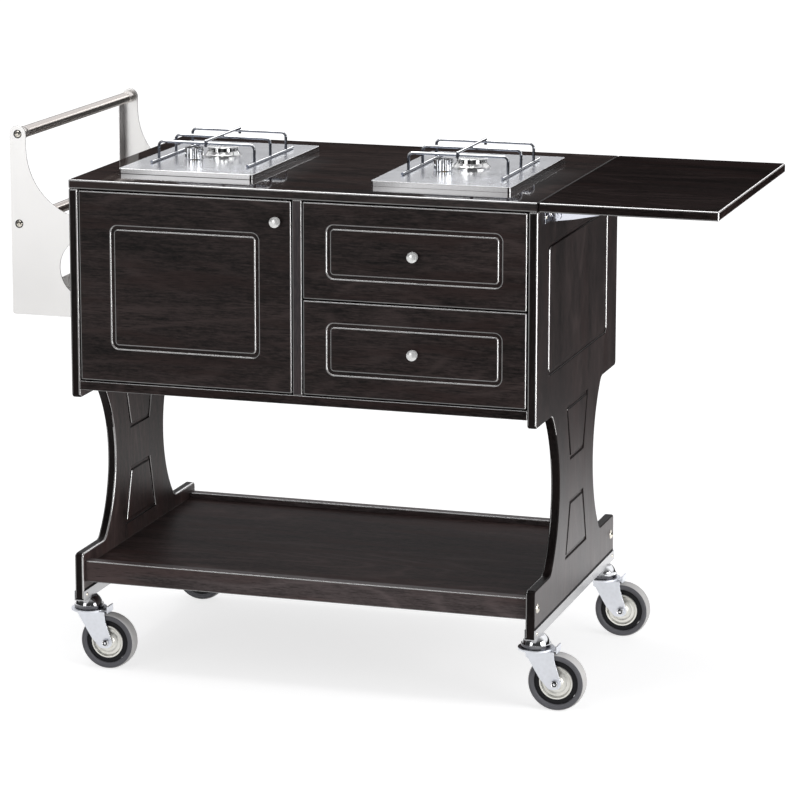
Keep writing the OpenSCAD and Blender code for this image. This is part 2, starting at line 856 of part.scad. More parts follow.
// The outline of a rack plate in X and Z
module rack_outline() {
    curve_x = arm_x1 + plate_curve_r;
    difference() {
        union() {
            translate([tube_x, handle_h]) circle(plate_arm_w / 2);
            translate([-rack_out, curve_top - cut]) square([plate_arm_w, handle_h - curve_top + cut]);
            translate([-rack_out + rack_corner_r, rack_bottom_h])
                square([rack_out - rack_corner_r, curve_top - rack_bottom_h]);
            translate([-rack_out, rack_bottom_h + rack_corner_r])
                square([rack_out, curve_top - rack_bottom_h - rack_corner_r]);
            translate([-rack_out + rack_corner_r, rack_bottom_h + rack_corner_r]) circle(rack_corner_r);
        }
        intersection() {
            translate([curve_x, curve_top]) circle(plate_curve_r, $fn = 128);
            translate([arm_x1 - cut, curve_top - plate_curve_r - cut])
                square([-arm_x1 + 2 * cut, plate_curve_r + 2 * cut]);
        }
        translate([notch_x, notch_h]) circle(notch_r);
    }
}

// A rack plate with its folds, as the front one; the rear one is its mirror image
module rack_plate() {
    difference() {
        union() {
            xz_plate(rack_y0, rack_sheet) rack_outline();
            block([-rack_out, rack_y0, rack_bottom_h + rack_corner_r],
                [-rack_out + rack_sheet, rack_y0 + plate_fold, fold_top]);
            block([-rack_sheet, rack_y0, rack_bottom_h],
                [0, rack_y0 + plate_fold + rack_sheet, notch_h - notch_half - 4]);
            block([-rack_sheet, rack_y0, notch_top + 2],
                [0, rack_y0 + plate_fold + rack_sheet, notch_top + fold_h]);
        }
        for (z = [handle_h, rail_axis_h]) {
            rod_y([tube_x, rack_y0 - cut, z], rack_screw_d + 2 * fit, rack_sheet + 2 * cut);
        }
        for (p = rack_fixings()) {
            rod_x([-rack_sheet - cut, p[0], p[1]], rack_screw_d + 2 * fit, rack_sheet + 2 * cut);
        }
    }
}

module rack_front_plate() {
    color(STEEL) cart() rack_plate();
}

module rack_rear_plate() {
    color(STEEL) cart() translate([0, cart_d, 0]) mirror([0, 1, 0]) rack_plate();
}

// The tray between the plates: a floor with a lip on its outer and inner side
module bottle_tray() {
    y0 = rack_y0 + rack_sheet;
    y1 = rack_y1 - rack_sheet;
    x0 = -rack_out + rack_sheet;
    z0 = rack_bottom_h + rack_sheet;
    color(STEEL) cart() difference() {
        block([x0, y0, z0], [-rack_sheet, y1, z0 + tray_lip]);
        block([x0 + rack_sheet, y0 - cut, z0 + rack_sheet], [-2 * rack_sheet, y1 + cut, z0 + tray_lip + cut]);
        for (p = rack_fixings()) {
            rod_x([-2 * rack_sheet - cut, p[0], p[1]], rack_head_d + 2, rack_sheet + 2 * cut);
        }
    }
}

// A tube between the rack plates, with a threaded plug in each end
module rack_tube(z) {
    y0 = rack_y0 + rack_sheet;
    l = rack_y1 - rack_y0 - 2 * rack_sheet;
    difference() {
        rod_y([tube_x, y0, z], tube_d, l);
        rod_y([tube_x, y0 + plug_l, z], tube_d - 2 * tube_wall, l - 2 * plug_l);
        rod_y([tube_x, y0 - cut, z], rack_screw_d + 2 * fit, plug_l + 2 * cut);
        rod_y([tube_x, y0 + l - plug_l - cut, z], rack_screw_d + 2 * fit, plug_l + 2 * cut);
    }
}

module push_handle() {
    color(STEEL) cart() rack_tube(handle_h);
}

module bottle_rail() {
    color(STEEL) cart() rack_tube(rail_axis_h);
}

module rack_screws() {
    color(CHROME) cart() {
        for (z = [handle_h, rail_axis_h]) {
            translate([tube_x, rack_y0, z]) rotate([90, 0, 0])
                screw(rack_head_d, rack_head_t, rack_screw_d, plug_l - 4);
            translate([tube_x, rack_y1, z]) rotate([-90, 0, 0])
                screw(rack_head_d, rack_head_t, rack_screw_d, plug_l - 4);
        }
        for (p = rack_fixings()) {
            translate([-rack_sheet, p[0], p[1]]) rotate([0, -90, 0])
                screw(rack_head_d, rack_head_t, rack_screw_d, board_t - 4);
        }
    }
}

// A hob plate: a pressed sheet with a folded edge, holed for the burner and the tap
module hob_plate(x) {
    x0 = x - hob_w / 2;
    y0 = hob_y - hob_d / 2;
    difference() {
        translate([0, 0, top_h]) linear_extrude(hob_h) soft_rect(x0, y0, hob_w, hob_d, hob_corner_r);
        translate([0, 0, top_h - cut]) linear_extrude(hob_h - hob_sheet + cut)
            soft_rect(x0 + hob_sheet, y0 + hob_sheet, hob_w - 2 * hob_sheet, hob_d - 2 * hob_sheet,
                hob_corner_r - hob_sheet);
        rod_z([x, burner_y, hob_top - hob_sheet - cut], throat_d + 2 * fit, hob_sheet + 2 * cut);
        rod_z([x - tap_left, tap_y, hob_top - hob_sheet - cut], spindle_d + 2, hob_sheet + 2 * cut);
    }
}

module left_hob_plate() {
    color(STEEL) cart() hob_plate(hob_xs[0]);
}

module right_hob_plate() {
    color(STEEL) cart() hob_plate(hob_xs[1]);
}

// The burner bodies: a mixing cup below the plate, a flange on it and a collar for the cap
module burner_bodies() {
    color(STEEL) cart() for (x = hob_xs) {
        translate([x, burner_y, hob_top]) difference() {
            union() {
                translate([0, 0, -tap_drop]) cylinder(d = throat_d, h = tap_drop + cut);
                cylinder(d = cap_d + 10, h = 2.5);
                translate([0, 0, 2]) cylinder(d1 = cap_d + 8, d2 = cap_d - 3, h = burner_h - 2);
            }
            translate([0, 0, cup_floor - tap_drop]) cylinder(d = spigot_d + 2 * fit, h = tap_drop);
            translate([0, 0, pipe_z - hob_top]) rotate([0, 0, feed_turn]) rotate([0, -90, 0])
                translate([0, 0, throat_d / 2 - feed_in - fit]) cylinder(d = gas_d - 2 + 2 * fit, h = throat_d);
        }
    }
}

// A burner cap that rests on the body, located by its spigot
module burner_cap(x) {
    translate([x, burner_y, hob_top + burner_h + run]) difference() {
        union() {
            cylinder(d = cap_d, h = cap_h - 2);
            translate([0, 0, cap_h - 2]) cylinder(d1 = cap_d, d2 = cap_d - 5, h = 2);
            translate([0, 0, -8]) cylinder(d = spigot_d, h = 9);
        }
        translate([0, 0, -8 - cut]) cylinder(d = spigot_d - 6, h = 9);
    }
}

module left_burner_cap() {
    color(STEEL) cart() burner_cap(hob_xs[0]);
}

module right_burner_cap() {
    color(STEEL) cart() burner_cap(hob_xs[1]);
}

support_z = hob_top + run;
bend_r = 8;

// A quarter bend of rod in X and Z that starts upright at the origin and turns to +X
module rod_bend() {
    translate([bend_r, 0, 0]) rotate([90, 0, 0]) rotate([0, 0, 90])
        rotate_extrude(angle = 90) translate([bend_r, 0]) circle(d = rod_d, $fn = 24);
}

// The pan support: two rods on the plate, three bridges across and one rod along their tops
module pan_support(x) {
    rod_r = rod_d / 2;
    leg_h = support_h - rod_r - bend_r - run;
    half_l = support_step + support_over;
    translate([x, burner_y, support_z]) {
        for (side = [-1, 1]) {
            rod_y([side * support_w / 2, -half_l, rod_r], rod_d, 2 * half_l);
        }
        for (y = [-support_step, 0, support_step]) {
            rod_x([-support_w / 2 + bend_r, y, leg_h + bend_r], rod_d, support_w - 2 * bend_r);
            for (side = [0, 1]) {
                mirror([side, 0, 0]) translate([-support_w / 2, y, 0]) {
                    translate([0, 0, rod_r]) cylinder(d = rod_d, h = leg_h - rod_r);
                    translate([0, 0, leg_h]) rod_bend();
                }
            }
        }
        rod_y([0, -support_step - 4, leg_h + bend_r + rod_d - weld], rod_d, 2 * support_step + 8);
        for (side = [-1, 1]) {
            translate([0, side * (support_step + 4), leg_h + bend_r + rod_d - weld])
                sphere(d = rod_d, $fn = 24);
            rod_z([0, side * (support_step + 4), leg_h + bend_r - 6], rod_d, 6 + rod_d - weld);
        }
    }
}

module left_pan_support() {
    color(CHROME) cart() pan_support(hob_xs[0]);
}

module right_pan_support() {
    color(CHROME) cart() pan_support(hob_xs[1]);
}

knob_lobes = 8;
spindle_up = tap_knob_h * 0.7;

// A fluted hob knob on its tap's spindle, with a pointer line on top
module hob_knob(x) {
    translate([x - tap_left, tap_y, hob_top + 1]) difference() {
        linear_extrude(tap_knob_h) difference() {
            circle(d = tap_knob_d);
            for (i = [0:knob_lobes - 1]) {
                rotate(360 * (i + 0.5) / knob_lobes) translate([tap_knob_d / 2 + 2, 0]) circle(4.5, $fn = 32);
            }
        }
        translate([0, 0, -cut]) cylinder(d = spindle_d + 2 * fit, h = spindle_up + run + cut);
        translate([-1, -tap_knob_d / 2, tap_knob_h - 1]) cube([2, tap_knob_d / 2, 2]);
    }
}

module left_hob_knob() {
    color(CHROME) cart() hob_knob(hob_xs[0]);
}

module right_hob_knob() {
    color(CHROME) cart() hob_knob(hob_xs[1]);
}

// The gas taps under the plates, each with its spindle and the feed to its burner
module gas_taps() {
    color("#b08d57") cart() for (x = hob_xs) {
        translate([x - tap_left, tap_y, hob_top - hob_sheet]) {
            translate([-tap_body / 2, -tap_body / 2, -tap_drop]) cube([tap_body, tap_body, tap_drop]);
            cylinder(d = spindle_d, h = hob_sheet + 1 + spindle_up);
            translate([0, 0, pipe_z - hob_top + hob_sheet]) rotate([0, 0, feed_turn]) rotate([0, 90, 0])
                cylinder(d = gas_d - 2, h = feed - throat_d / 2 + feed_in);
        }
    }
}

nipple_x = hob_xs[0] + hob_w / 2;
nipple_l = 40;

// The gas pipe between the taps, with the hose nipple that points down behind the door
module gas_pipe() {
    x0 = hob_xs[0] - tap_left + tap_body / 2;
    x1 = hob_xs[1] - tap_left - tap_body / 2;
    color("#b08d57") cart() {
        rod_x([x0, tap_y, pipe_z], gas_d, x1 - x0);
        rod_z([nipple_x, tap_y, pipe_z - nipple_l], gas_d - 1, nipple_l);
        for (i = [0:2]) {
            translate([nipple_x, tap_y, pipe_z - nipple_l + 6 * i]) cylinder(d1 = gas_d - 1, d2 = gas_d + 1.5, h = 4);
        }
    }
}

// The fixed heads of the castors: stem, dome, upper race and kingpin
module castor_heads() {
    dome_z = castor_h - 19;
    race_z = crown_top + run;
    color(CHROME) cart() for (x = castor_xs, y = castor_ys) {
        translate([x, y, 0]) {
            translate([0, 0, castor_h - cut]) cylinder(d = stem_d, h = stem_l + channel_t + cut - 1);
            intersection() {
                translate([0, 0, dome_z]) sphere(dome_d / 2);
                translate([0, 0, race_z + race_h - cut])
                    cylinder(d = dome_d, h = castor_h - race_z - race_h + cut);
            }
            translate([0, 0, race_z]) cylinder(d = dome_d + 3, h = race_h);
            translate([0, 0, crown_under - run - kingpin_head_t])
                cylinder(d = kingpin_d, h = crown_t + 2 * run + kingpin_head_t + cut);
            translate([0, 0, crown_under - run - kingpin_head_t])
                cylinder(d = kingpin_d + 10, h = kingpin_head_t);
        }
    }
}

// The outline of a fork blade in X and Z, from the crown to the axle
module blade_outline() {
    end_r = 11;
    polygon([
        [-17, crown_under + cut], [trail - 3, crown_under + cut], [trail - 1, crown_under - 16],
        [trail + end_r - 1, axle_h + 4], [trail, axle_h - end_r], [trail - end_r, axle_h - end_r],
        [trail - blade_back, axle_h + 6], [-13, crown_under - 8]
    ]);
    translate([trail, axle_h]) circle(end_r);
}

// A fork with its swivel ring, its two blades and the web between them, and the axle riveted into it
module castor_fork() {
    difference() {
        union() {
            translate([0, 0, crown_under]) cylinder(d = ring_d, h = crown_t);
            for (y = [fork_in, -fork_in - fork_t]) {
                xz_plate(y, fork_t) blade_outline();
            }
            intersection() {
                translate([0, 0, crown_under - 14]) difference() {
                    cylinder(d = 2 * (fork_in + fork_t), h = 15);
                    translate([0, 0, -cut]) cylinder(r = fork_in, h = 15 + 2 * cut);
                }
                block([-ring_d, -ring_d, 0], [-7, ring_d, castor_h]);
            }
            block([ring_d / 2 - 8, -tab_w / 2, crown_under], [tab_x, tab_w / 2, crown_under + fork_t]);
            block([tab_x - fork_t, -tab_w / 2, crown_under - fork_t], [tab_x, tab_w / 2, crown_top + 6]);
        }
        translate([0, 0, crown_under - cut]) cylinder(d = kingpin_d + 2 * fit, h = crown_t + 2 * cut);
    }
    axle_out = fork_in + fork_t;
    rod_y([trail, -axle_out, axle_h], axle_d, 2 * axle_out + 5);
    rod_y([trail, -axle_out - 4, axle_h], axle_d + 5, 4);
    rod_y([trail, axle_out, axle_h], axle_d + 5, 4);
}

// The wheel's core: hub, web, rim and the dished covers on both sides
module wheel_core() {
    half = tyre_w / 2;
    translate([trail, 0, axle_h]) rotate([90, 0, 0]) rotate_extrude() difference() {
        union() {
            translate([0, -hub_half]) square([axle_d / 2 + 6, 2 * hub_half]);
            translate([0, -half + 5]) square([cover_r, 2 * half - 10]);
            translate([cover_r - 3, -half + 1.5]) square([3, 2 * half - 3]);
            translate([cover_r - cut, -half + 3]) square([core_r - core_fit - cover_r + cut, 2 * half - 6]);
        }
        translate([-cut, -hub_half - cut]) square([axle_d / 2 + fit + cut, 2 * hub_half + 2 * cut]);
    }
}

// The tyre: a ring with a rounded tread
module wheel_tyre() {
    half = tyre_w / 2;
    tread_r = 6;
    translate([trail, 0, axle_h]) rotate([90, 0, 0]) rotate_extrude($fn = 96) {
        translate([core_r, -half]) square([axle_h - core_r - tread_r, tyre_w]);
        translate([core_r, -half + tread_r]) square([axle_h - core_r, tyre_w - 2 * tread_r]);
        for (side = [-1, 1]) {
            translate([axle_h - tread_r, side * (half - tread_r)]) circle(tread_r);
        }
    }
}

// Puts a castor's moving pieces at one of the four pivots
module at_castor(i) {
    cart() translate([castor_xs[i % 2], castor_ys[floor(i / 2)], 0]) children();
}

left_side_panel();
right_side_panel();
top_board();
bottom_board();
centre_divider();
back_panel();
shelf_board();
shelf_front_rail();
shelf_back_rail();
shelf_bolts();
foot_channels();
channel_screws();
door_panel();
door_knob();
door_hinge_arms();
door_hinge_cups();
door_catch();
door_strike();
upper_drawer_front();
upper_drawer_box();
upper_drawer_knob();
upper_drawer_slides();
lower_drawer_front();
lower_drawer_box();
lower_drawer_knob();
lower_drawer_slides();
cabinet_slides();
drop_leaf();
leaf_bracket_plates();
leaf_bracket_arms();
rack_front_plate();
rack_rear_plate();
bottle_tray();
push_handle();
bottle_rail();
rack_screws();
left_hob_plate();
right_hob_plate();
left_burner_cap();
right_burner_cap();
left_pan_support();
right_pan_support();
left_hob_knob();
right_hob_knob();
burner_bodies();
gas_taps();
gas_pipe();
castor_heads();
color(ZINC) at_castor(0) castor_fork();  // castor_fork_1
color(ZINC) at_castor(1) castor_fork();  // castor_fork_2
color(ZINC) at_castor(2) castor_fork();  // castor_fork_3
color(ZINC) at_castor(3) castor_fork();  // castor_fork_4
color("#dcdcda") at_castor(0) wheel_core();  // castor_wheel_1
color("#dcdcda") at_castor(1) wheel_core();  // castor_wheel_2
color("#dcdcda") at_castor(2) wheel_core();  // castor_wheel_3
color("#dcdcda") at_castor(3) wheel_core();  // castor_wheel_4
color(RUBBER) at_castor(0) wheel_tyre();  // castor_tyre_1
color(RUBBER) at_castor(1) wheel_tyre();  // castor_tyre_2
color(RUBBER) at_castor(2) wheel_tyre();  // castor_tyre_3
color(RUBBER) at_castor(3) wheel_tyre();  // castor_tyre_4
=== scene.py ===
# %% [markdown]
# # Flambe cart
# A serving cart in dark stained veneer, with two gas hobs, a door, two drawers, a raised leaf, a steel
# bottle rack with its push handle, a lower shelf and four castors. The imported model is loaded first. It
# stays as it is: every piece made here sits on it, rides on one of its bodies, or stands in for one of
# its nodes with softer edges.

# %% Load the frame
import json
import math
import bpy
import bmesh
from mathutils import Matrix, Vector


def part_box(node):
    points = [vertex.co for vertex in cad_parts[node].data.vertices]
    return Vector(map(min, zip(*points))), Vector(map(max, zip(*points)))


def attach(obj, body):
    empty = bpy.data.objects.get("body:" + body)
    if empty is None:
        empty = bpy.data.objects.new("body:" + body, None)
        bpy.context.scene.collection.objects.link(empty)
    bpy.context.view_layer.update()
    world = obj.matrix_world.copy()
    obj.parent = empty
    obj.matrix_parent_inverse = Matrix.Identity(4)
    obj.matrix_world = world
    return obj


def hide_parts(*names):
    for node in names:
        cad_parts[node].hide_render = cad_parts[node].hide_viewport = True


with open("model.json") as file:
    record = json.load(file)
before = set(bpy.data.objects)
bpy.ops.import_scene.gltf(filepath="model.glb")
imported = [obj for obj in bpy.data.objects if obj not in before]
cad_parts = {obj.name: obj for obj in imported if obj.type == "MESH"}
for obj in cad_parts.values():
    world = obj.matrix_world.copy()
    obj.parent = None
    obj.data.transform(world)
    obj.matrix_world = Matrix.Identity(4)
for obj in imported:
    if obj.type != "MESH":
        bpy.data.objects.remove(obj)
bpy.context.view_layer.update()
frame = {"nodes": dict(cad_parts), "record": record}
nodes = frame["nodes"]
body_of_node = {n: b for b, group in frame["record"]["behaviour"]["bodies"].items() for n in group}
slot_of_node = {s["node"]: s["material_slot"] for s in frame["record"]["subparts"]}

# %% [markdown]
# ## Camera
# The photograph was taken with a long lens, from the right of the cart's middle and above its top, so
# upright lines stay nearly parallel. The place, the angles and the lens below come from a fit to corner
# points of the cart, and the small downward shift keeps the uprights as parallel as they are there. The
# origin is under the cart's middle, so its corner (the left side panel's outer face, the front and the
# floor) is the offset that turns workshop measures into places in the frame.

# %% Camera
panel_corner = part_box("left_side_panel")[0]
CORNER = Vector((panel_corner[0], panel_corner[1], 0.0))


def at(x, y, z):
    """A place measured in millimetres from the cart's lower front left corner."""
    return CORNER + Vector((x, y, z)) / 1000


def turned(degrees, axis):
    return Matrix.Rotation(math.radians(degrees), 3, axis)


def linked(name, data):
    """A new object with its mesh, lamp or camera, put into the scene."""
    made = bpy.data.objects.new(name, data)
    bpy.context.scene.collection.objects.link(made)
    return made


PICTURE_PX, SENSOR = 800, 36
FOCAL_PX, YAW, PITCH, ROLL = 3468, 17.26, 11.18, 0.07
camera_data = bpy.data.cameras.new("camera")
camera_data.sensor_width = SENSOR
camera_data.lens = FOCAL_PX / PICTURE_PX * SENSOR
camera_data.shift_y = -0.1
camera_data.clip_start, camera_data.clip_end = 0.1, 100
camera = linked("camera", camera_data)
camera.location = at(2294, -5459, 1799)
camera.rotation_euler = (turned(YAW, "Z") @ turned(90 - PITCH, "X") @ turned(ROLL, "Z")).to_euler()
bpy.context.scene.camera = camera
print("lens", round(camera_data.lens, 1), "mm, camera at", tuple(round(v, 3) for v in camera.location))

# %% [markdown]
# ## Shader maths
# A finish is easier to read as a sum of values than as a page of nodes. A small class wraps a node's
# output socket. Adding, multiplying or comparing two of them adds the Math node that does it.

# %% Shader sockets as values


class Value:
    """A number that a node gives, ready for arithmetic."""

    def __init__(self, tree, socket):
        self.tree, self.socket = tree, socket

    def _math(self, kind, *inputs):
        node = self.tree.nodes.new("ShaderNodeMath")
        node.operation = kind
        for i, v in enumerate(inputs):
            if isinstance(v, Value):
                self.tree.links.new(v.socket, node.inputs[i])
            else:
                node.inputs[i].default_value = v
        return Value(self.tree, node.outputs[0])

    def __add__(self, o): return self._math("ADD", self, o)
    def __radd__(self, o): return self._math("ADD", o, self)
    def __sub__(self, o): return self._math("SUBTRACT", self, o)
    def __rsub__(self, o): return self._math("SUBTRACT", o, self)
    def __mul__(self, o): return self._math("MULTIPLY", self, o)
    def __rmul__(self, o): return self._math("MULTIPLY", o, self)
    def __pow__(self, o): return self._math("POWER", self, o)
    def __gt__(self, o): return self._math("GREATER_THAN", self, o)
    def __lt__(self, o): return self._math("LESS_THAN", self, o)
    def over(self, o): return self._math("MAXIMUM", self, o)
    def under(self, o): return self._math("MINIMUM", self, o)
    def clamped(self, low=0, high=1): return self.over(low).under(high)
    def sine(self): return self._math("SINE", self)


print("values ready")

# %% [markdown]
# ## Node trees
# Every other kind of node comes from one method, which is given the node's type, its settings and the
# values of its sockets. The world's light and the finishes are wired with the same few methods.

# %% Node trees


class Wiring:
    """A node tree, and the kinds of node that are used on this cart."""

    def __init__(self, tree):
        self.tree = tree

    def node(self, kind, settings=None, inputs=None, output=0):
        """Adds a node, sets it up, fills its sockets with numbers or links, and returns an output."""
        made = self.tree.nodes.new("ShaderNode" + kind)
        for key, v in (settings or {}).items():
            setattr(made, key, v)
        for key, v in (inputs or {}).items():
            if isinstance(v, Value):
                self.tree.links.new(v.socket, made.inputs[key])
            else:
                made.inputs[key].default_value = v
        return Value(self.tree, made.outputs[output])

    def place(self):
        return self.node("TexCoord", output="Object")

    def axis(self, name, vector=None):
        """One coordinate of a vector, or else of the place on the object."""
        return self.node("SeparateXYZ", inputs={0: vector or self.place()}, output=name)

    def ray(self, kind):
        """1 for Camera, Glossy or Transmission rays, and 0 for all others."""
        return self.node("LightPath", output=f"Is {kind} Ray")

    def stretched(self, scale, shift=(0, 0, 0)):
        return self.node("Mapping", inputs={"Vector": self.place(), "Scale": scale, "Location": shift})

    def noise(self, scale, detail=3.0, rough=0.5, vector=None, distortion=0.0):
        return self.node("TexNoise", inputs={
            "Vector": vector or self.place(), "Scale": scale, "Detail": detail,
            "Roughness": rough, "Distortion": distortion})

    def ramp(self, value, stops):
        """A colour ramp: stops are pairs of a position and a colour."""
        made = self.tree.nodes.new("ShaderNodeValToRGB")
        ramp = made.color_ramp
        while len(ramp.elements) < len(stops):
            ramp.elements.new(0.5)
        for element, (position, colour) in zip(ramp.elements, stops):
            element.position = position
            element.color = (*colour, 1)
        self.tree.links.new(value.socket, made.inputs[0])
        return Value(self.tree, made.outputs[0])

    def blend(self, factor, a, b):
        """Mixes two colours, each a colour value or a triple of numbers."""
        full = [c if isinstance(c, Value) else (*c, 1) for c in (a, b)]
        return self.node("Mix", {"data_type": "RGBA"}, {0: factor, 6: full[0], 7: full[1]}, output=2)


print("wiring ready")

# %% [markdown]
# ## Finishes
# A finish is a node tree with a Principled shader. Only the sockets listed below ever vary over a surface.
# Anything that is the same all over a finish, such as how metallic it is, is set on the shader itself, so
# that an exported model keeps it.

# %% Finishes
SOCKETS = {"colour": "Base Color", "roughness": "Roughness", "coat": "Coat Weight", "normal": "Normal"}


class Finish(Wiring):
    """A material under construction, with its Principled shader."""

    def __init__(self, name, roughness=0.5, metallic=0.0, specular=0.5, coat=0.0, coat_roughness=0.1):
        self.material = bpy.data.materials.new(name)
        self.material.use_nodes = True
        super().__init__(self.material.node_tree)
        self.shader = self.tree.nodes["Principled BSDF"]
        for key, v in (("Roughness", roughness), ("Metallic", metallic), ("Specular IOR Level", specular),
                       ("Coat Weight", coat), ("Coat Roughness", coat_roughness)):
            self.shader.inputs[key].default_value = v

    def feed(self, **sockets):
        for key, v in sockets.items():
            socket = self.shader.inputs[SOCKETS[key]]
            if isinstance(v, Value):
                self.tree.links.new(v.socket, socket)
            else:
                socket.default_value = (*v, 1) if key == "colour" else v

    def bump(self, height, strength, distance):
        self.feed(normal=self.node("Bump", inputs={
            "Height": height, "Strength": strength, "Distance": distance}))


def shade(colour, share):
    """A colour made darker or lighter."""
    return tuple(share * c for c in colour)


print("sockets that may vary:", ", ".join(SOCKETS.values()))

# %% [markdown]
# ## Dark stained veneer
# The boards are beech plywood with a nearly black brown stain under a clear satin lacquer. Close by, the
# stain is not one tone: broad clouds follow the grain, fine darker pores run along it, and a few paler
# streaks show where the wood took less stain. All of that is noise, drawn out along the grain by a
# Mapping node, so one function serves boards whose grain runs along X, along Y or upright.

# %% The figure of the wood
ALONG_X, ALONG_Y, UPRIGHT = 0, 1, 2
WARM = (1.16, 0.94, 0.90)


def figured(f, grain, stain, seed):
    """The colour of stained wood, the figure that its gloss follows, and the height of its surface."""
    dark, light = stain
    middle = tuple((a + b) / 2 for a, b in zip(dark, light))
    shift = (seed, seed * 0.7, seed * 1.3)

    def streaks(long, across, detail, rough, distortion=0.0):
        scale = tuple(long if i == grain else across for i in range(3))
        return f.noise(1.0, detail, rough, f.stretched(scale, shift), distortion)

    clouds = streaks(2.2, 11, 3, 0.55, 0.8)
    figure = streaks(7, 120, 5, 0.62, 1.4)
    flecks = streaks(70, 330, 3, 0.7)
    tone = clouds * 0.30 + figure * 0.30 + flecks * 0.40
    colour = f.ramp(tone, [(0.40, dark), (0.50, middle), (0.60, light)])
    # Growth rings cut at a low angle: thin pale arcs along the contours of a slow field
    field = streaks(1.5, 6.5, 1, 0.4, 0.3)
    arcs = (((field * 80).sine() * 0.5 + 0.5) ** 7) * ((clouds - 0.42).over(0) * 6).under(1)
    colour = f.blend(arcs * 0.8, colour, shade(light, 1.2))
    warmer = ((streaks(4, 30, 2, 0.5) - 0.52).over(0) * 6).under(0.7)
    colour = f.blend(warmer, colour, tuple(m * c for m, c in zip(middle, WARM)))
    pore = (streaks(38, 900, 2, 0.5) - 0.56).over(0) * 5
    colour = f.blend(pore.under(0.75), colour, shade(dark, 0.45))
    return colour, figure, figure * 0.4 + flecks * 0.25 - pore * 0.5


print("grain axes", ALONG_X, ALONG_Y, UPRIGHT)

# %% [markdown]
# ## Lacquer over the veneer
# The lacquer is a matt satin. Two masks from a place on the object change it. A band just above the steel
# channels of the feet is a painted shadow of the seam there: near black, and rougher. The top is wiped to a
# fuller gloss round the hobs, with a soft border for the wiped zones.

# %% Veneer finishes
SEAM_DEEP, SEAM_HIGH, SEAM_SHADOW = 0.0005, 0.0046, (0.001, 0.0008, 0.0008)
WIPED_GLOSS, WIPED_BORDER = 0.95, 16  # the border is a slope, in gloss per metre


def veneer(name, grain, stain, specular, coat=0.0, coat_roughness=0.12, seed=0.0, rough=0.42, seam=None,
           wiped=(), tint=(1, 1, 1)):
    """Stained veneer whose grain runs along one axis, with a painted shadow line above a seam's height, a
    fuller gloss in the wiped boxes, and a tint of its shine. The stain is its dark and its light tone."""
    f = Finish(name, roughness=rough, specular=specular, coat=coat, coat_roughness=coat_roughness)
    f.shader.inputs["Specular Tint"].default_value = (*tint, 1)
    colour, figure, height = figured(f, grain, stain, seed)
    matt = 0.0
    if seam:
        above = f.axis("Z") - (seam - SEAM_DEEP)
        matt = (above < SEAM_HIGH) * (above > 0.0)
        # Painted shadow: a near black band just above the channels, in the seam there.
        colour = f.blend(matt * 0.95, colour, SEAM_SHADOW)
    gloss = coat
    for low, high in wiped:
        near = 1.0
        for axis, a, b in (("X", low[0], high[0]), ("Y", low[1], high[1])):
            spot = f.axis(axis)
            near = near * ((spot - a) * WIPED_BORDER).clamped() * ((b - spot) * WIPED_BORDER).clamped()
        gloss = gloss + near * (WIPED_GLOSS - coat)
    f.feed(colour=colour, roughness=rough - 0.08 + figure * 0.16 + matt * 0.45, coat=gloss)
    f.bump(height, 0.10, 0.0004)
    return f.material


CHANNEL_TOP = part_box("foot_channels")[1][2]
WIPED_FRONT, WIPED_REAR, WIPED_RIGHT = 0.10, -0.06, 0.08
hob_boxes = [[Vector(corner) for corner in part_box(f"{side}_hob_plate")] for side in ("left", "right")]
around_hobs = [(low - Vector((0, WIPED_FRONT, 0)), high + Vector((WIPED_RIGHT, WIPED_REAR, 0)))
               for low, high in hob_boxes]
print("channel top", round(CHANNEL_TOP, 4), "wiped zones", len(around_hobs))

# %% [markdown]
# ## One stain, several boards
# All boards have the same stain, in tones of their own: the top is a little darker, the leaf is darker still,
# and the shelf and its two rails are paler. The left side panel is paler too, which is a painted light on its
# inner face, lit from the right under the cabinet. The side panels shine with a violet cast. The ends of the
# plies, in the edges of the side panels, drank more stain than their faces, and the same dark finish is a
# painted shade on some of their arrises.

# %% Veneers of the boards
STAIN = (0.0040, 0.0029, 0.0028), (0.0430, 0.0310, 0.0295)
TOP_STAIN = (0.0030, 0.0020, 0.0019), (0.0400, 0.0270, 0.0245)
LEAF_STAIN = (0.0035, 0.0022, 0.0021), (0.0200, 0.0135, 0.0128)
SHELF_STAIN = (0.0130, 0.0084, 0.0081), (0.0780, 0.0530, 0.0500)
# Painted light: the left side panel is paler than the right, for light from the right on its inner face.
LEFT_STAIN_PAINTED_LIGHT = (0.0080, 0.0052, 0.0050), (0.0820, 0.0545, 0.0515)
RAIL_STAIN = (0.026, 0.020, 0.0195), (0.100, 0.079, 0.078)
EDGE_STAIN_AND_SHADE = (0.0025, 0.0018, 0.0017), (0.0150, 0.0108, 0.0104)
VIOLET_CAST = (1.0, 0.94, 1.0)
finish = {
    "wood_front": veneer("veneer_front", ALONG_X, STAIN, 0.12, seed=1.7),
    "wood_top": veneer("veneer_top", ALONG_X, TOP_STAIN, 0.0, 0.36, 0.05, seed=4.1, wiped=around_hobs),
    "wood_upright": veneer("veneer_upright", UPRIGHT, STAIN, 0.42, seed=2.9, rough=0.36,
                           seam=CHANNEL_TOP, tint=VIOLET_CAST),
    "wood_board": veneer("veneer_board", ALONG_X, STAIN, 0.08, seed=6.3),
}
own_veneer = {
    "drop_leaf": veneer("veneer_leaf", ALONG_X, LEAF_STAIN, 0.0, 0.10, 0.08, seed=5.2),
    "shelf_board": veneer("veneer_shelf", ALONG_X, SHELF_STAIN, 0.02, seed=6.3),
    "left_side_panel": veneer("veneer_left_panel_painted_light", UPRIGHT, LEFT_STAIN_PAINTED_LIGHT, 0.28, seed=1.1, seam=CHANNEL_TOP),
}
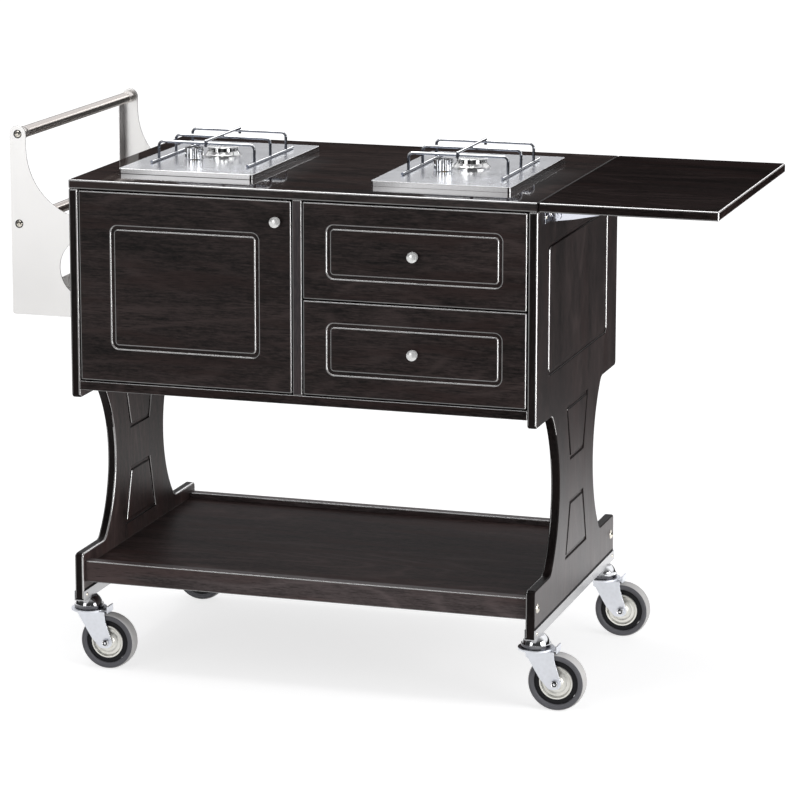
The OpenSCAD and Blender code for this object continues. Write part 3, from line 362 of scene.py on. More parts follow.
for rail in ("shelf_front_rail", "shelf_back_rail"):
    own_veneer[rail] = veneer("veneer_" + rail, ALONG_X, RAIL_STAIN, 0.2, seed=7.7)
# Dark ends of the plies; the same finish is also a painted shade on some arrises of the side panels.
ply_edge_and_shade = veneer("veneer_ply_edge_and_shade", UPRIGHT, EDGE_STAIN_AND_SHADE, 0.08, seed=8.4)
seam_edge = veneer("veneer_seam", ALONG_Y, EDGE_STAIN_AND_SHADE, 0.05, seed=3.3)
print("veneers", sorted(finish), "and", sorted(own_veneer))

# %% [markdown]
# ## Lacquer on the arrises
# The arrises and the lips of the routed lines are paler than the stain under a hard gloss: partly sanded wood
# that took less stain, partly a painted highlight. On the sides that look to the right and up the colour is
# paler still and the gloss fuller, a painted highlight of the lamps at the right and overhead. The object's
# own normal tells those sides apart, so the painted highlight and the fuller gloss move with a door or a
# drawer.

# %% Arris finish
HARD_LACQUER_IOR = 4.0
ARRIS_DARK, ARRIS_PALE, ARRIS_HIGHLIGHT = (0.050, 0.046, 0.045), (0.110, 0.102, 0.100), (0.50, 0.47, 0.46)


def painted_highlight_lacquer(name):
    """Hard lacquer on the arrises, paler where they look right and up as a painted highlight."""
    f = Finish(name, roughness=0.3, specular=1.0, coat=1.0, coat_roughness=0.14)
    f.shader.inputs["Coat IOR"].default_value = HARD_LACQUER_IOR
    rubbed = f.noise(9.0, 2)
    facing = f.node("TexCoord", output="Normal")
    right, up = f.axis("X", facing), f.axis("Z", facing)
    stained = f.ramp(rubbed, [(0.35, ARRIS_DARK), (0.65, ARRIS_PALE)])
    # Painted highlight: paler where the normal looks to the right and up.
    highlit_side = (right * 1.7 + up * 0.5 - 0.15).clamped(0, 0.85)
    f.feed(colour=f.blend(highlit_side, stained, ARRIS_HIGHLIGHT), roughness=0.22 + rubbed * 0.10,
           coat=(right * 0.9 + up * 0.7 + 0.42).clamped(0.22, 1))
    return f.material


arris = painted_highlight_lacquer("lacquer_arris_painted_highlight")
print("arris", arris.name)

# %% [markdown]
# ## Metals
# Bright metal is mostly what it reflects, so its own colour stays near its real value and the finish is in
# its roughness: nearly none on chrome, a little on the polished hob plates, brushed streaks on the rack, and
# soft spangled patches on the zinc plated pressings. The chrome of the pan supports and the castor heads is
# painted bright on top and dark on its sides and below, a painted reflection.

# %% Kinds of metal
STREAK = 0.14


def brushed(name, colour, grain, rough):
    """Steel with fine lines along one axis."""
    f = Finish(name, metallic=1.0)
    lines = f.noise(1.0, 3, 0.6, f.stretched(tuple(3 if i == grain else 420 for i in range(3))))
    cloud = f.noise(7.0, 2)
    f.feed(colour=f.ramp(cloud, [(0.3, shade(colour, 0.93)), (0.7, colour)]),
           roughness=rough - STREAK / 2 + lines * STREAK + cloud * 0.05)
    f.bump(lines, 0.05, 0.0002)
    return f.material


def bright(name, colour, rough, wear, metallic=1.0):
    """Polished or plated metal, smeared by hands and cloths."""
    f = Finish(name, metallic=metallic)
    smear = f.noise(22.0, 4, 0.6)
    spots = f.noise(150.0, 2)
    f.feed(colour=f.ramp(smear, [(0.3, shade(colour, 0.94)), (0.7, colour)]),
           roughness=rough + smear * wear + spots * wear * 0.3)
    return f.material


def painted_reflection_chrome(name, colour, side_shade, rough, low, high):
    """Chrome painted bright on top and dark on its sides and below, by the direction of its normal: a painted
    reflection.
    """
    f = Finish(name, metallic=1.0)
    smear = f.noise(40.0, 3)
    upward = f.axis("Z", f.node("NewGeometry", output="Normal"))
    # Painted reflection: dark on the sides and below, bright on top, by the upward normal.
    f.feed(colour=f.ramp(upward + (smear - 0.5) * 0.3, [(low, side_shade), (high, colour)]),
           roughness=rough + smear * 0.05)
    return f.material


def zinc(name, colour, rough):
    """Zinc plated sheet with its soft crystals."""
    f = Finish(name, metallic=1.0)
    cell = f.node("TexVoronoi", inputs={"Vector": f.place(), "Scale": 140.0})
    cloud = f.noise(26.0, 3)
    f.feed(colour=f.ramp(cell * 0.35 + cloud * 0.5, [(0.2, shade(colour, 0.88)), (0.6, colour)]),
           roughness=rough + cell * 0.14 + cloud * 0.08)
    return f.material


print("streaks of brushed steel", STREAK)

# %% [markdown]
# ## Plastic, rubber and birch
# The tyres, the wheels' cores and the catch are moulded, and take a fine even grain from their mould. The
# drawer boxes are bare birch under a clear lacquer, much paler than the stained boards.

# %% Kinds of plastic and wood


def moulded(name, colour, rough, grainy=320.0, specular=0.5):
    """Plastic or rubber with the fine grain of its mould."""
    f = Finish(name, roughness=rough, specular=specular)
    grain = f.noise(grainy, 2)
    cloud = f.noise(12.0, 2)
    f.feed(colour=f.ramp(cloud, [(0.3, shade(colour, 0.88)), (0.7, colour)]),
           roughness=rough - 0.06 + grain * 0.12)
    f.bump(grain, 0.12, 0.0003)
    return f.material


def plywood(name):
    """The drawer boxes: pale birch under clear lacquer, grain along the drawer."""
    f = Finish(name, roughness=0.4, coat=0.3, coat_roughness=0.25)
    figure = f.noise(1.0, 5, 0.6, f.stretched((60, 4, 60)), 1.0)
    cloud = f.noise(1.0, 2, 0.5, f.stretched((14, 2, 14)))
    f.feed(colour=f.ramp(figure * 0.6 + cloud * 0.4,
                         [(0.3, (0.42, 0.28, 0.16)), (0.5, (0.56, 0.41, 0.25)), (0.7, (0.66, 0.51, 0.34))]))
    f.bump(figure, 0.12, 0.0004)
    return f.material


print("plastic and birch ready")

# %% Finishes of the slots
finish.update({
    "stainless": brushed("stainless_brushed", (0.86, 0.85, 0.84), UPRIGHT, 0.34),
    "polished_steel": bright("hob_polished", (0.92, 0.93, 0.96), 0.21, 0.05),
    "burner_steel": bright("burner_bright", (0.80, 0.80, 0.79), 0.12, 0.08),
    "chrome": bright("chrome_plate", (0.84, 0.85, 0.87), 0.04, 0.03),
    "nickel_screw": bright("nickel_plate", (0.78, 0.74, 0.66), 0.16, 0.06),
    "zinc_steel": zinc("zinc_sheet", (0.74, 0.75, 0.77), 0.26),
    "fork_zinc": zinc("zinc_fork", (0.84, 0.86, 0.91), 0.34),
    "gas_brass": bright("brass", (0.72, 0.53, 0.26), 0.24, 0.10),
    "catch_plastic": moulded("catch_plastic", (0.74, 0.73, 0.70), 0.45),
    "tyre": moulded("tyre_grey", (0.150, 0.150, 0.163), 0.60, 420.0, 0.35),
    "wheel_core": moulded("wheel_black", (0.010, 0.010, 0.012), 0.50, 260.0, 0.2),
    "drawer_ply": plywood("birch_ply"),
})
print("finishes", len(finish), "for", len(set(slot_of_node.values())), "slots")

# %% [markdown]
# ## Finishes of single pieces
# Pieces that share a slot still differ on the real cart: the knobs are satin, the tubes brushed, and the
# channels under the feet duller than the forks. Each such node gets a finish of its own, and every other
# node gets the finish of its slot.

# %% Finishes of single pieces
# The pan supports and castor heads take chrome with a painted reflection.
support_finish = painted_reflection_chrome("support_chrome", (0.90, 0.91, 0.93), (0.10, 0.11, 0.135), 0.05, 0.0, 0.42)
tube_finish = brushed("tube_satin", (0.64, 0.59, 0.55), ALONG_Y, 0.22)
knob_finish = bright("knob_satin", (0.90, 0.90, 0.89), 0.20, 0.06, metallic=0.5)
bracket_finish = bright("bracket_chrome", (0.84, 0.86, 0.95), 0.09, 0.04)
own_finish = {
    "left_pan_support": support_finish, "right_pan_support": support_finish,
    "push_handle": tube_finish, "bottle_rail": tube_finish,
    "door_knob": knob_finish, "upper_drawer_knob": knob_finish, "lower_drawer_knob": knob_finish,
    "leaf_bracket_plates": bracket_finish, "leaf_bracket_arms": bracket_finish,
    "castor_heads": painted_reflection_chrome("castor_chrome", (0.88, 0.89, 0.90), (0.10, 0.10, 0.11), 0.04, 0.0, 0.5),
    "foot_channels": zinc("zinc_channel", (0.56, 0.56, 0.57), 0.24),
    **own_veneer,
}


def finish_of(node_name):
    return own_finish.get(node_name, finish[slot_of_node[node_name]])


for name, node in nodes.items():
    node.data.materials.clear()
    node.data.materials.append(finish_of(name))
print("nodes with a finish of their own", len(own_finish))

# %% [markdown]
# ## Finding the edges
# No board or pressing has a knife edge. On the real cart the arris of every board and routed line is
# rounded by sanding, and it is this thin round that catches the studio light as a bright line. A Bevel
# modifier would treat all edges alike, so the edges are chosen here: first the lips of the routed lines,
# which border a wall only a few millimetres deep, and then the outline, without the small bores.

# %% Finding the edges
SHARP_EDGE = math.radians(30)
LIP_DEPTH = 0.0005, 0.006


def sharp_edges(bm):
    return [e for e in bm.edges
            if len(e.link_faces) == 2 and e.is_convex and e.calc_face_angle(0) > SHARP_EDGE]


def reach_along(face, axis):
    """How far a face reaches along an axis."""
    places = [v.co[axis] for v in face.verts]
    return max(places) - min(places)


def at_lip(edge, thin):
    """Whether an edge is the lip of a routed line, on a board that is thin along an axis."""
    return any(LIP_DEPTH[0] < reach_along(f, thin) < LIP_DEPTH[1] for f in edge.link_faces)


def bend_radius(edge, chosen):
    """The radius of the curve that an edge is a short piece of."""
    turns = []
    for v in edge.verts:
        near = [o for o in v.link_edges if o is not edge and o in chosen]
        if not near:
            return math.inf
        way = edge.other_vert(v).co - v.co
        turns.append(min(math.pi - way.angle(o.other_vert(v).co - v.co) for o in near))
    return edge.calc_length() / max(sum(turns) / 2, 1e-4)


def bevel(bm, edges, width, segments, material, clamp):
    """Bevels edges to a width in millimetres."""
    bmesh.ops.bevel(bm, geom=edges, offset=width / 1000, offset_type="OFFSET", segments=segments,
                    profile=0.5, affect="EDGES", clamp_overlap=clamp, material=material)


print("sharp from", round(math.degrees(SHARP_EDGE)), "degrees, lips", LIP_DEPTH, "m deep")

# %% [markdown]
# ## Easing a node
# A imported node is made of loose triangles, so its doubles are merged and its coplanar triangles are joined
# before anything is bevelled. Each face carries a number that says which finish it takes: 0 for the board's
# face, 1 for the bevel and 2 for the rim where the plies show, which also takes some faces as a painted
# shade.

# %% Easing a node
FACE, EDGE, RIM = 0, 1, 2


def merged(mesh):
    bm = bmesh.new()
    bm.from_mesh(mesh)
    bmesh.ops.remove_doubles(bm, verts=bm.verts, dist=1e-5)
    bmesh.ops.dissolve_limit(bm, angle_limit=math.radians(1), verts=bm.verts, edges=bm.edges)
    return bm


def ease(bm, width, lip, thin, segments, smallest, edge_material, rim_lips):
    """Bevels the lips and then the outline. Level lips of a board with a rim finish count as rim, a painted
    shade in place of the arris's painted highlight.
    """
    lips = [e for e in sharp_edges(bm) if at_lip(e, thin)] if lip else []
    if lips:
        bevel(bm, lips, lip, segments, edge_material, clamp=False)
        # Painted shade: lips that look up or down take the dark rim finish.
        for face in bm.faces:
            if rim_lips and face.material_index == EDGE and abs(face.normal.z) > 0.25:
                face.material_index = RIM
    chosen = {e for e in sharp_edges(bm) if all(f.material_index == FACE for f in e.link_faces)}
    bores = {e for e in chosen if bend_radius(e, chosen) < smallest / 1000}
    outline = [e for e in chosen - bores if not any(o in bores for v in e.verts for o in v.link_edges)]
    bevel(bm, outline, width, segments, edge_material, clamp=not smallest)
    return len(outline), len(lips)


print("materials of an eased piece: face", FACE, "edge", EDGE, "rim", RIM)

# %% [markdown]
# ## A copy that stands in for its node
# The node itself stays as it is, for the motion model. Its eased copy is what is seen: it rides on the
# same body, and it says which node it stands for. The bevel's faces get a finish of their own, and so do
# the faces round the rim, which look across the thin axis. A Weighted Normal modifier keeps the large
# faces flat.

# %% Eased copies
CREASE = math.radians(42)


def eased(node_name, width, piece_name, edge_finish=None, segments=2, lip=0.0, thin=None, smallest=0.0,
          rim_finish=None, rim_span=math.inf, plain_side=0, shaded_below=0.0):
    """A copy of a node with bevelled edges, standing in for it. Widths are in millimetres. The lips of routed
    lines, on a board that is thin along one axis, get a width of their own, and bores smaller than a radius
    stay as they are. The rim, all faces along the thin axis up to a span, can have its own finish. The edges
    on a plain side, +1 for right and -1 for left, are left matt and dark. With a rim finish, faces that look
    down (when there is an edge finish) and bevel faces that look right below a height take the rim finish
    too, as a painted shade."""
    mesh = nodes[node_name].data.copy()
    mesh.name = piece_name
    bm = merged(mesh)
    counts = ease(bm, width, lip, thin, segments, smallest, EDGE if edge_finish else -1, bool(rim_finish))
    for face in bm.faces:
        face.smooth = True
    mesh.materials.clear()
    for material in filter(None, (finish_of(node_name), edge_finish, rim_finish)):
        mesh.materials.append(material)
    if rim_finish:
        for face in bm.faces:
            at_rim = (face.material_index == FACE and abs(face.normal[thin]) < 0.3
                      and reach_along(face, thin) < rim_span / 1000)
            # Painted shade: edges that look right below a height, and faces that look down, take the rim
            # finish.
            shaded_low = (face.material_index == EDGE and face.normal.x > 0.05
                    and face.calc_center_median().z < shaded_below)
            if at_rim or shaded_low or edge_finish and face.normal.z < -0.25:
                face.material_index = len(mesh.materials) - 1
    if plain_side:
        mesh.materials.append(own_finish.get(node_name, seam_edge))
        for face in bm.faces:
            if face.normal.x * plain_side > 0.04:
                face.material_index = len(mesh.materials) - 1
    bm.to_mesh(mesh)
    bm.free()
    piece = linked(piece_name, mesh)
    mesh.set_sharp_from_angle(angle=CREASE)
    weighted = piece.modifiers.new("flat_faces", "WEIGHTED_NORMAL")
    weighted.keep_sharp = True
    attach(piece, body_of_node[node_name])
    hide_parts(node_name)
    print(piece_name, len(mesh.polygons), "faces from", counts[0], "edges and", counts[1], "lips")


print("creases from", round(math.degrees(CREASE)), "degrees stay sharp")

# %% [markdown]
# ## The boards
# Each row of the table is a board: how wide its edges are eased, how wide the lips of its routed lines
# are, and the axis it is thin along. The top and the leaf meet in a closed seam, so their sides there
# are plain.

# %% Eased boards
BOARDS = {
    "left_side_panel": (2.6, 2.0, 0), "right_side_panel": (2.6, 2.0, 0), "top_board": (2.4, 0, None),
    "drop_leaf": (2.4, 0, None), "door_panel": (2.0, 2.4, 1), "upper_drawer_front": (2.0, 2.4, 1),
    "lower_drawer_front": (2.0, 2.4, 1), "centre_divider": (1.4, 0, None), "bottom_board": (0.9, 0, None),
    "shelf_board": (0.6, 0, None), "shelf_front_rail": (1.6, 0, None), "shelf_back_rail": (1.6, 0, None),
    "back_panel": (0.6, 0, None),
}
PLAIN_SIDE = {"top_board": 1, "drop_leaf": -1}
# Below this height, in metres, the right panel's edges that look right get a painted shade.
SHADED_BELOW = {"right_side_panel": 0.452}
SMALLEST_BORE = 6.6
for name, (width, lip, thin) in BOARDS.items():
    eased(name, width, "board_" + name, arris, 3, lip=lip, thin=thin, smallest=SMALLEST_BORE,
          rim_finish=ply_edge_and_shade if "side_panel" in name else None, plain_side=PLAIN_SIDE.get(name, 0),
          shaded_below=SHADED_BELOW.get(name, 0.0))

# %% [markdown]
# ## The pressings
# Sheet metal is deburred, which leaves a much thinner round than sanding does. The cut edges of the rack's
# two plates stay dark and brushed across their thickness, and the folded sides of the hob plates are a
# little duller than their tops.

# %% Eased metal pieces
PRESSINGS = {
    "bottle_tray": 0.5, "foot_channels": 0.4, "leaf_bracket_plates": 0.3, "leaf_bracket_arms": 0.4,
    "castor_fork_1": 0.6, "castor_fork_2": 0.6, "castor_fork_3": 0.6, "castor_fork_4": 0.6,
    "left_hob_knob": 0.7, "right_hob_knob": 0.7, "burner_bodies": 0.5, "castor_heads": 0.6,
}
for name, width in PRESSINGS.items():
    eased(name, width, "eased_" + name)
cut_edge = brushed("cut_edge", (0.24, 0.23, 0.22), UPRIGHT, 0.40)
plate_side = bright("hob_side", (0.66, 0.66, 0.67), 0.13, 0.04)
plate_edge = bright("hob_edge", (0.93, 0.93, 0.93), 0.10, 0.04)
for name in ("rack_front_plate", "rack_rear_plate"):
    eased(name, 0.3, "eased_" + name, thin=1, rim_finish=cut_edge, rim_span=2.4)
for name in ("left_hob_plate", "right_hob_plate"):
    eased(name, 1.1, "eased_" + name, plate_edge, 3, thin=2, rim_finish=plate_side)

# %% [markdown]
# ## Turned pieces
# Ferrules, tyres, rivets, screws and wheel covers are all turned on a lathe or pressed to a round form.
# Their section is drawn once, as radius and height in millimetres, and bmesh's spin turns it about the
# axis. A matrix then stands the shape at its place on the cart.

# %% Lathe
MILLIMETRE = 0.001


def lathe(profile, steps=48):
    """A turned solid. A profile that begins and ends on the axis stays open there, any other is closed."""
    bm = bmesh.new()
    verts = [bm.verts.new((r, 0, h)) for r, h in profile]
    on_axis = profile[0][0] == 0 and profile[-1][0] == 0
    ends = verts[1:] if on_axis else verts[1:] + verts[:1]
    edges = [bm.edges.new(pair) for pair in zip(verts, ends)]
    bmesh.ops.spin(bm, geom=verts + edges, cent=(0, 0, 0), axis=(0, 0, 1), angle=2 * math.pi, steps=steps,
                   use_merge=True, use_duplicate=False)
    bmesh.ops.remove_doubles(bm, verts=bm.verts, dist=1e-4)
    bmesh.ops.recalc_face_normals(bm, faces=bm.faces)
    return bm


def stand(point, way):
    """The matrix that takes a shape in millimetres to a place in the frame, its Z along a direction."""
    facing = Vector(way).to_track_quat("Z", "Y").to_matrix().to_4x4()
    return Matrix.Translation(point) @ facing @ Matrix.Scale(MILLIMETRE, 4)


print("lathe ready, sections in units of", MILLIMETRE, "m")

# %% [markdown]
# ## Finished pieces
# The same turned shape is often needed at several places. The shapes of one piece are copied, put in place
# and joined into one mesh, so the piece's object stays at the origin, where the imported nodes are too.

# %% Finished pieces


def joined(shapes):
    """One bmesh from pairs of a bmesh and a matrix."""
    whole = bmesh.new()
    for bm, place in shapes:
        part = bm.copy()
        bmesh.ops.transform(part, matrix=place, verts=part.verts)
        mesh = bpy.data.meshes.new("part")
        part.to_mesh(mesh)
        part.free()
        whole.from_mesh(mesh)
        bpy.data.meshes.remove(mesh)
    return whole


def make(name, shapes, materials, body, stands_for=None):
    """A finished piece from its shapes and their places."""
    bm = joined(shapes)
    for face in bm.faces:
        face.smooth = True
    mesh = bpy.data.meshes.new(name)
    bm.to_mesh(mesh)
    bm.free()
    for material in materials:
        mesh.materials.append(material)
    mesh.set_sharp_from_angle(angle=math.radians(38))
    piece = linked(name, mesh)
    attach(piece, body)
    if stands_for:
        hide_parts(stands_for)
    print(name, len(mesh.polygons), "faces")
    return piece


# %% [markdown]
# ## Castors
# A castor's wheel has a black core with an off-white cover plate pressed into a shallow dish, with steps
# round it, and a grey tyre whose tread is paler than its sides. The axle ends in a peened rivet on each side
# of the fork, with a black ring in the gap round its head, a painted shade of that recess. The tyre stands in
# for its plain ring, and the covers sit on the core.

# %% Sections of the castor's pieces
cover = lathe([(9.0, 12.9), (10.6, 12.7), (12.0, 11.4), (13.2, 9.8), (17.6, 9.1), (18.4, 9.5), (19.2, 9.9),
               (20.0, 9.5), (20.8, 9.0), (24.2, 8.8), (25.4, 9.7), (26.0, 11.5), (26.9, 12.4), (28.2, 12.4),
               (29.2, 11.9), (29.5, 10.2), (29.0, 10.1), (28.6, 11.4), (27.2, 11.7), (26.6, 11.0),
               (25.6, 8.4), (20.0, 8.2), (9.0, 8.2)], 64)
tyre_side = [(38.6, 11.6), (39.4, 12.6), (41.0, 13.0), (45.2, 13.0), (45.8, 12.5), (46.4, 12.8), (47.6, 12.4),
             (48.8, 11.2), (49.5, 8.6), (49.9, 4.0), (50.0, 0.0)]
tyre_shape = lathe(tyre_side + [(r, -h) for r, h in reversed(tyre_side[:-1])], 96)
rivet_core = lathe([(0, 1.5), (1.5, 1.4), (2.4, 0.8), (2.5, -0.6), (0, -0.6)], 28)
rivet_ring = lathe([(4.3, -0.6), (4.3, 0.9), (4.9, 1.5), (5.9, 1.3), (6.5, 0.4), (6.6, -0.6)], 36)
rivet_gap_shade = lathe([(2.2, -0.6), (2.2, 0.3), (4.5, 0.3), (4.5, -0.6)], 28)
print("tyre section", 2 * len(tyre_side) - 1, "points, cover", len(cover.verts), "vertices")

# %% Castors
PIVOTS = [(8, 44), (828, 44), (8, 514), (828, 514)]
TRAIL, AXLE_HEIGHT, FORK_FACE, TREAD_RADIUS = 38, 50, 22.2, 0.0481
TO_FRONT, TO_REAR = (0, -1, 0), (0, 1, 0)
cover_finish = zinc("wheel_cover", (0.86, 0.85, 0.80), 0.34)
tread_finish = moulded("tread_grey", (0.60, 0.59, 0.58), 0.55, 420.0, 0.35)
for i, (x, y) in enumerate(PIVOTS, 1):
    hub = at(x + TRAIL, y, AXLE_HEIGHT)
    make(f"wheel_cover_{i}", [(cover, stand(hub, way)) for way in (TO_FRONT, TO_REAR)], [cover_finish],
         f"wheel_{i}")
    tyre = make(f"tyre_{i}", [(tyre_shape, stand(hub, TO_FRONT))], [finish["tyre"], tread_finish],
                f"wheel_{i}", f"castor_tyre_{i}")
    for face in tyre.data.polygons:
        on_tread = math.hypot(face.center.x - hub.x, face.center.z - hub.z) > TREAD_RADIUS
        face.material_index = 1 if on_tread else 0
    seats = [stand(at(x + TRAIL, y + way[1] * FORK_FACE, AXLE_HEIGHT), way) for way in (TO_FRONT, TO_REAR)]
    ends = [(shape, seat) for seat in seats for shape in (rivet_core, rivet_ring)]
    make(f"axle_rivets_{i}", ends, [finish["chrome"]], f"castor_{i}")
    # Painted shade: a black ring in the gap between each rivet's head and its ring.
    gap_shades = [(rivet_gap_shade, seat) for seat in seats]
    make(f"axle_gap_shades_{i}", gap_shades, [finish["wheel_core"]], f"castor_{i}")

# %% [markdown]
# ## Burner caps
# The cap of a burner is a thick disc over a ring of slots, where the flames come out. The slots are cut into
# the ring's wall: two faces of every four are inset a little and pushed inwards, and their floors are near
# black, a painted shade of the burner's dark inside. A black ring closes the throat below, a painted shade of
# the gap under the cap, and a spigot centres the cap.

# %% Burner caps
UP = (0, 0, 1)
CAP_FOOT, CROWN_HEIGHT = 0.8993, 0.0062
cap_disc = lathe([(0, 9.0), (20.0, 9.0), (26.0, 8.8), (27.9, 8.3), (28.5, 7.6), (28.3, 6.8), (27.4, 6.3),
                  (26.2, 6.1), (0, 6.1)], 72)
crown = bmesh.new()
bmesh.ops.create_cone(crown, cap_ends=True, segments=64, radius1=27.0, radius2=26.6,
                      depth=CROWN_HEIGHT * 1000)
wall = sorted((f for f in crown.faces if len(f.verts) == 4),
              key=lambda f: math.atan2(f.calc_center_median().y, f.calc_center_median().x))
slots = wall[::4] + wall[1::4]
bmesh.ops.inset_region(crown, faces=slots, thickness=0.7, depth=-2.4, use_even_offset=True)
for face in slots:
    face.material_index = 1
# Painted shade: a black ring under the cap and near black floors in the slots.
throat_shade = lathe([(20.0, -0.9), (25.4, -0.9), (25.4, 0.1), (20.0, 0.1)], 48)
spigot = lathe([(0, 0.2), (17.9, 0.2), (17.9, -7.6), (17.5, -8.0), (15.2, -8.0), (15.2, -0.8), (0, -0.8)], 48)
slot_shade = moulded("burner_slots_painted_shade", (0.012, 0.012, 0.012), 0.5, 300.0)
for side in ("left", "right"):
    low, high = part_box(f"{side}_burner_cap")
    foot = Vector(((low[0] + high[0]) / 2, (low[1] + high[1]) / 2, CAP_FOOT))
    shapes = [(cap_disc, stand(foot, UP)), (crown, stand(foot + Vector((0, 0, CROWN_HEIGHT / 2)), UP)),
              (spigot, stand(foot, UP))]
    make(f"burner_cap_{side}", shapes, [finish["burner_steel"], slot_shade], f"{side}_cap",
         f"{side}_burner_cap")
    make(f"burner_throat_shade_{side}", [(throat_shade, stand(foot, UP))], [slot_shade], f"{side}_cap")

# %% [markdown]
# ## Ferrules
# The push handle ends in two plain ferrules, each with a thin line round it. Round the screws that hold the
# handle and the bottle rail, on the outside of the rack's plates, thin black rings are a painted shadow of
# the gap round each screw head.

# %% Ferrules and screw rings
HANDLE_X, HANDLE_HEIGHT, HANDLE_ENDS = -99, 952, (17, 541)
RACK_SHEET = 0.002
ferrule = lathe([(9.2, 0.2), (10.5, 0.2), (10.6, 0.6), (10.6, 22.6), (10.3, 23.1), (10.3, 23.9), (10.6, 24.4),
                 (10.6, 26.8), (10.3, 27.2), (9.2, 27.2)], 48)
ferrule_finish = brushed("ferrule_satin", (0.78, 0.74, 0.70), ALONG_Y, 0.26)
make("handle_ferrules", [(ferrule, stand(at(HANDLE_X, y, HANDLE_HEIGHT), way))
                         for y, way in zip(HANDLE_ENDS, (TO_REAR, TO_FRONT))],
     [ferrule_finish], "cart")
# Painted shadow: a thin black ring round each screw head on the rack's plates.
shadow_ring = lathe([(6.1, -0.2), (6.1, 0.5), (7.4, 0.5), (7.4, -0.2)], 40)
shadow_rings = []
for tube in ("push_handle", "bottle_rail"):
    low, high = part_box(tube)
    for y, way in ((low[1] - RACK_SHEET, TO_FRONT), (high[1] + RACK_SHEET, TO_REAR)):
        shadow_rings.append((shadow_ring, stand(Vector(((low[0] + high[0]) / 2, y, (low[2] + high[2]) / 2)), way)))
make("rack_screw_shadow_rings", shadow_rings, [finish["wheel_core"]], "cart")

# %% [markdown]
# ## Screws of the leaf's brackets
# Small domed screws hold the brackets of the leaf: two through each wall plate into the side panel, which
# stay on the cart, and four through each arm into the leaf, which swing down with it.

# %% Screws of the leaf's brackets
TO_RIGHT, DOWN = (1, 0, 0), (0, 0, -1)
BRACKET_YS, WALL_SCREW, LEAF_SCREW, LEAF_SIDE = (72, 486), (838, 850), 862, 850
small_screw = lathe([(0, 1.2), (0.9, 1.3), (1.1, 2.1), (2.2, 2.0), (3.4, 1.4), (4.0, 0.5), (4.1, -0.2),
                     (0, -0.2)], 28)
wall_screws = [(small_screw, stand(at(WALL_SCREW[0], y + off, WALL_SCREW[1]), TO_RIGHT))
               for y in BRACKET_YS for off in (-25, 25)]
make("bracket_wall_screws", wall_screws, [finish["nickel_screw"]], "cart")
leaf_screws = [(small_screw, stand(at(LEAF_SIDE + along, y + off, LEAF_SCREW), DOWN))
               for y in BRACKET_YS for along in (52, 128) for off in (-13, 13)]
make("bracket_leaf_screws", leaf_screws, [finish["nickel_screw"]], "leaf")

# %% [markdown]
# ## Light
# The photograph is a catalogue shot: soft boxes over a pale sweep, the background pure white. The world
# is three things. Camera and transmission rays see plain white. Glossy rays see a studio whose rear wall
# is dark up to about a fifth of the way and bright above, and whose front is dim, which is what gives
# the dark lacquer its contrast. All other rays get an even grey, so the white doesn't light the cart.

# %% World
AMBIENT = (0.40, 0.40, 0.41)
world = bpy.data.worlds.new("studio")
bpy.context.scene.world = world
world.use_nodes = True
sky = Wiring(world.node_tree)
direction = sky.node("TexCoord", output="Generated")
height, depth = sky.axis("Z", direction), sky.axis("Y", direction)


def greys(*stops):
    """Ramp stops in a slightly cool grey, from pairs of a height and a brightness."""
    return [(position, (v, v, v * 1.02)) for position, v in stops]


rear_wall = sky.ramp(height, greys((0.0, 0.01), (0.12, 0.03), (0.17, 0.10), (0.22, 0.98), (1.0, 1.12)))
front_wall = sky.ramp(height, greys((0.0, 0.04), (0.50, 0.06), (1.0, 0.45)))
mirrored = sky.blend((depth * 2.0 + 0.5).clamped(), front_wall, rear_wall)
lighting = sky.blend(sky.ray("Glossy"), AMBIENT, mirrored)
seen = sky.ray("Camera").over(sky.ray("Transmission"))
background = sky.tree.nodes["Background"]
sky.tree.links.new(sky.blend(seen, lighting, (1, 1, 1)).socket, background.inputs["Color"])
print("world", world.name, "with", len(sky.tree.nodes), "nodes")

# %% [markdown]
# ## Floor
# The floor is a wide disc that keeps the cart's soft shadow. For the camera it glows a little, so that it
# meets the white background without an edge. For glossy rays it is bright under the cart, most at the
# right rear, and dim further out, except at the front left. That is what the steel and the lacquer show
# in the photograph.

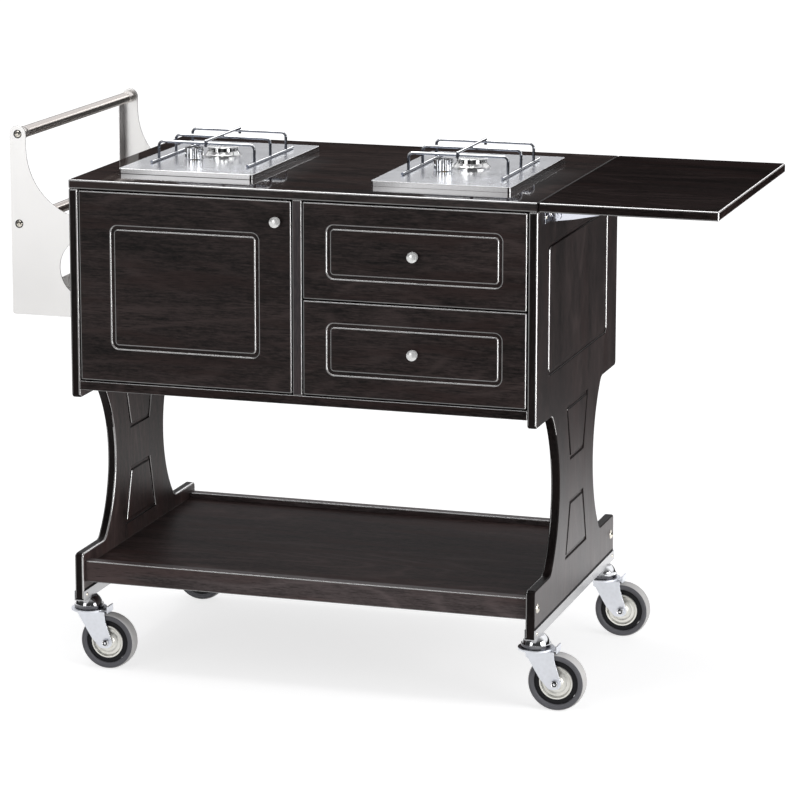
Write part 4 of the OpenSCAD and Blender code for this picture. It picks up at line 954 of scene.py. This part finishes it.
# %% Floor
FLOOR_RADIUS, FLOOR_GREY = 40, (0.55, 0.55, 0.55)
bm = bmesh.new()
bmesh.ops.create_circle(bm, cap_ends=True, cap_tris=False, segments=96, radius=FLOOR_RADIUS)
floor_mesh = bpy.data.meshes.new("floor")
bm.to_mesh(floor_mesh)
bm.free()
floor = linked("floor", floor_mesh)
sweep = Finish("floor_sweep", roughness=0.9, specular=0.0)
sweep.feed(colour=FLOOR_GREY)
reach = sweep.node("VectorMath", {"operation": "LENGTH"}, {0: sweep.place()}, output="Value")
x, y = sweep.axis("X"), sweep.axis("Y")
far = ((reach - 1.4) * 0.5).clamped()
away = (reach - 1.1).clamped()
front_left = (0.3 - x * 0.9).clamped() * (0.0 - y).clamped()
right_rear = (x * 1.6).clamped() * (y * 1.6).clamped() * (1.0 - away) ** 3


def glowing(strength):
    return sweep.node("Emission", inputs={"Color": (1, 1, 1, 1), "Strength": strength})


shown_glow = sweep.node("MixShader", inputs={
    0: sweep.ray("Camera").over(sweep.ray("Transmission")), 2: glowing(0.70 + far * 0.20)})
plain = sweep.node("AddShader", inputs={0: Value(sweep.tree, sweep.shader.outputs[0]), 1: shown_glow})
mirrored_glow = glowing(1.0 - away * (1.0 - front_left) * 0.93 + right_rear * 0.6)
total = sweep.node("MixShader", inputs={0: sweep.ray("Glossy"), 1: plain, 2: mirrored_glow})
sweep.tree.links.new(total.socket, sweep.tree.nodes["Material Output"].inputs["Surface"])
floor_mesh.materials.append(sweep.material)
print("floor", len(floor_mesh.polygons), "face")

# %% [markdown]
# ## Soft boxes
# The box overhead draws the bright lines along the arrises, the one at the front left fills the door and
# the drawers, the one at the right lights the right panel and the feet, and a narrow one behind gives the
# top its rim. A lamp's power is worked out from the white that its face would be.

# %% Soft boxes


def soft_box(name, place, aim, width, depth, radiance):
    """A rectangular lamp, placed in metres and turned towards a point, as bright as a white of that value."""
    data = bpy.data.lights.new(name, "AREA")
    data.shape, data.size, data.size_y = "RECTANGLE", width, depth
    data.energy = radiance * math.pi * width * depth
    lamp = linked(name, data)
    lamp.location = place
    lamp.rotation_euler = (Vector(aim) - Vector(place)).to_track_quat("-Z", "Y").to_euler()


soft_box("overhead", (-0.5, -0.1, 3.0), (-0.1, -0.1, 0.6), 1.9, 1.7, 3.6)
soft_box("front", (-1.5, -3.7, 1.35), (0, 0, 0.6), 1.6, 1.4, 2.4)
soft_box("side", (2.4, -0.8, 0.65), (0, 0, 0.6), 1.6, 1.3, 6.2)
soft_box("rim", (0.65, 4.3, 1.95), (-0.2, 0, 0.9), 0.4, 1.0, 3.0)

# %% [markdown]
# ## Finish
# The Standard view keeps colours as they are written.

# %% Finish
bpy.context.scene.view_settings.view_transform = "Standard"
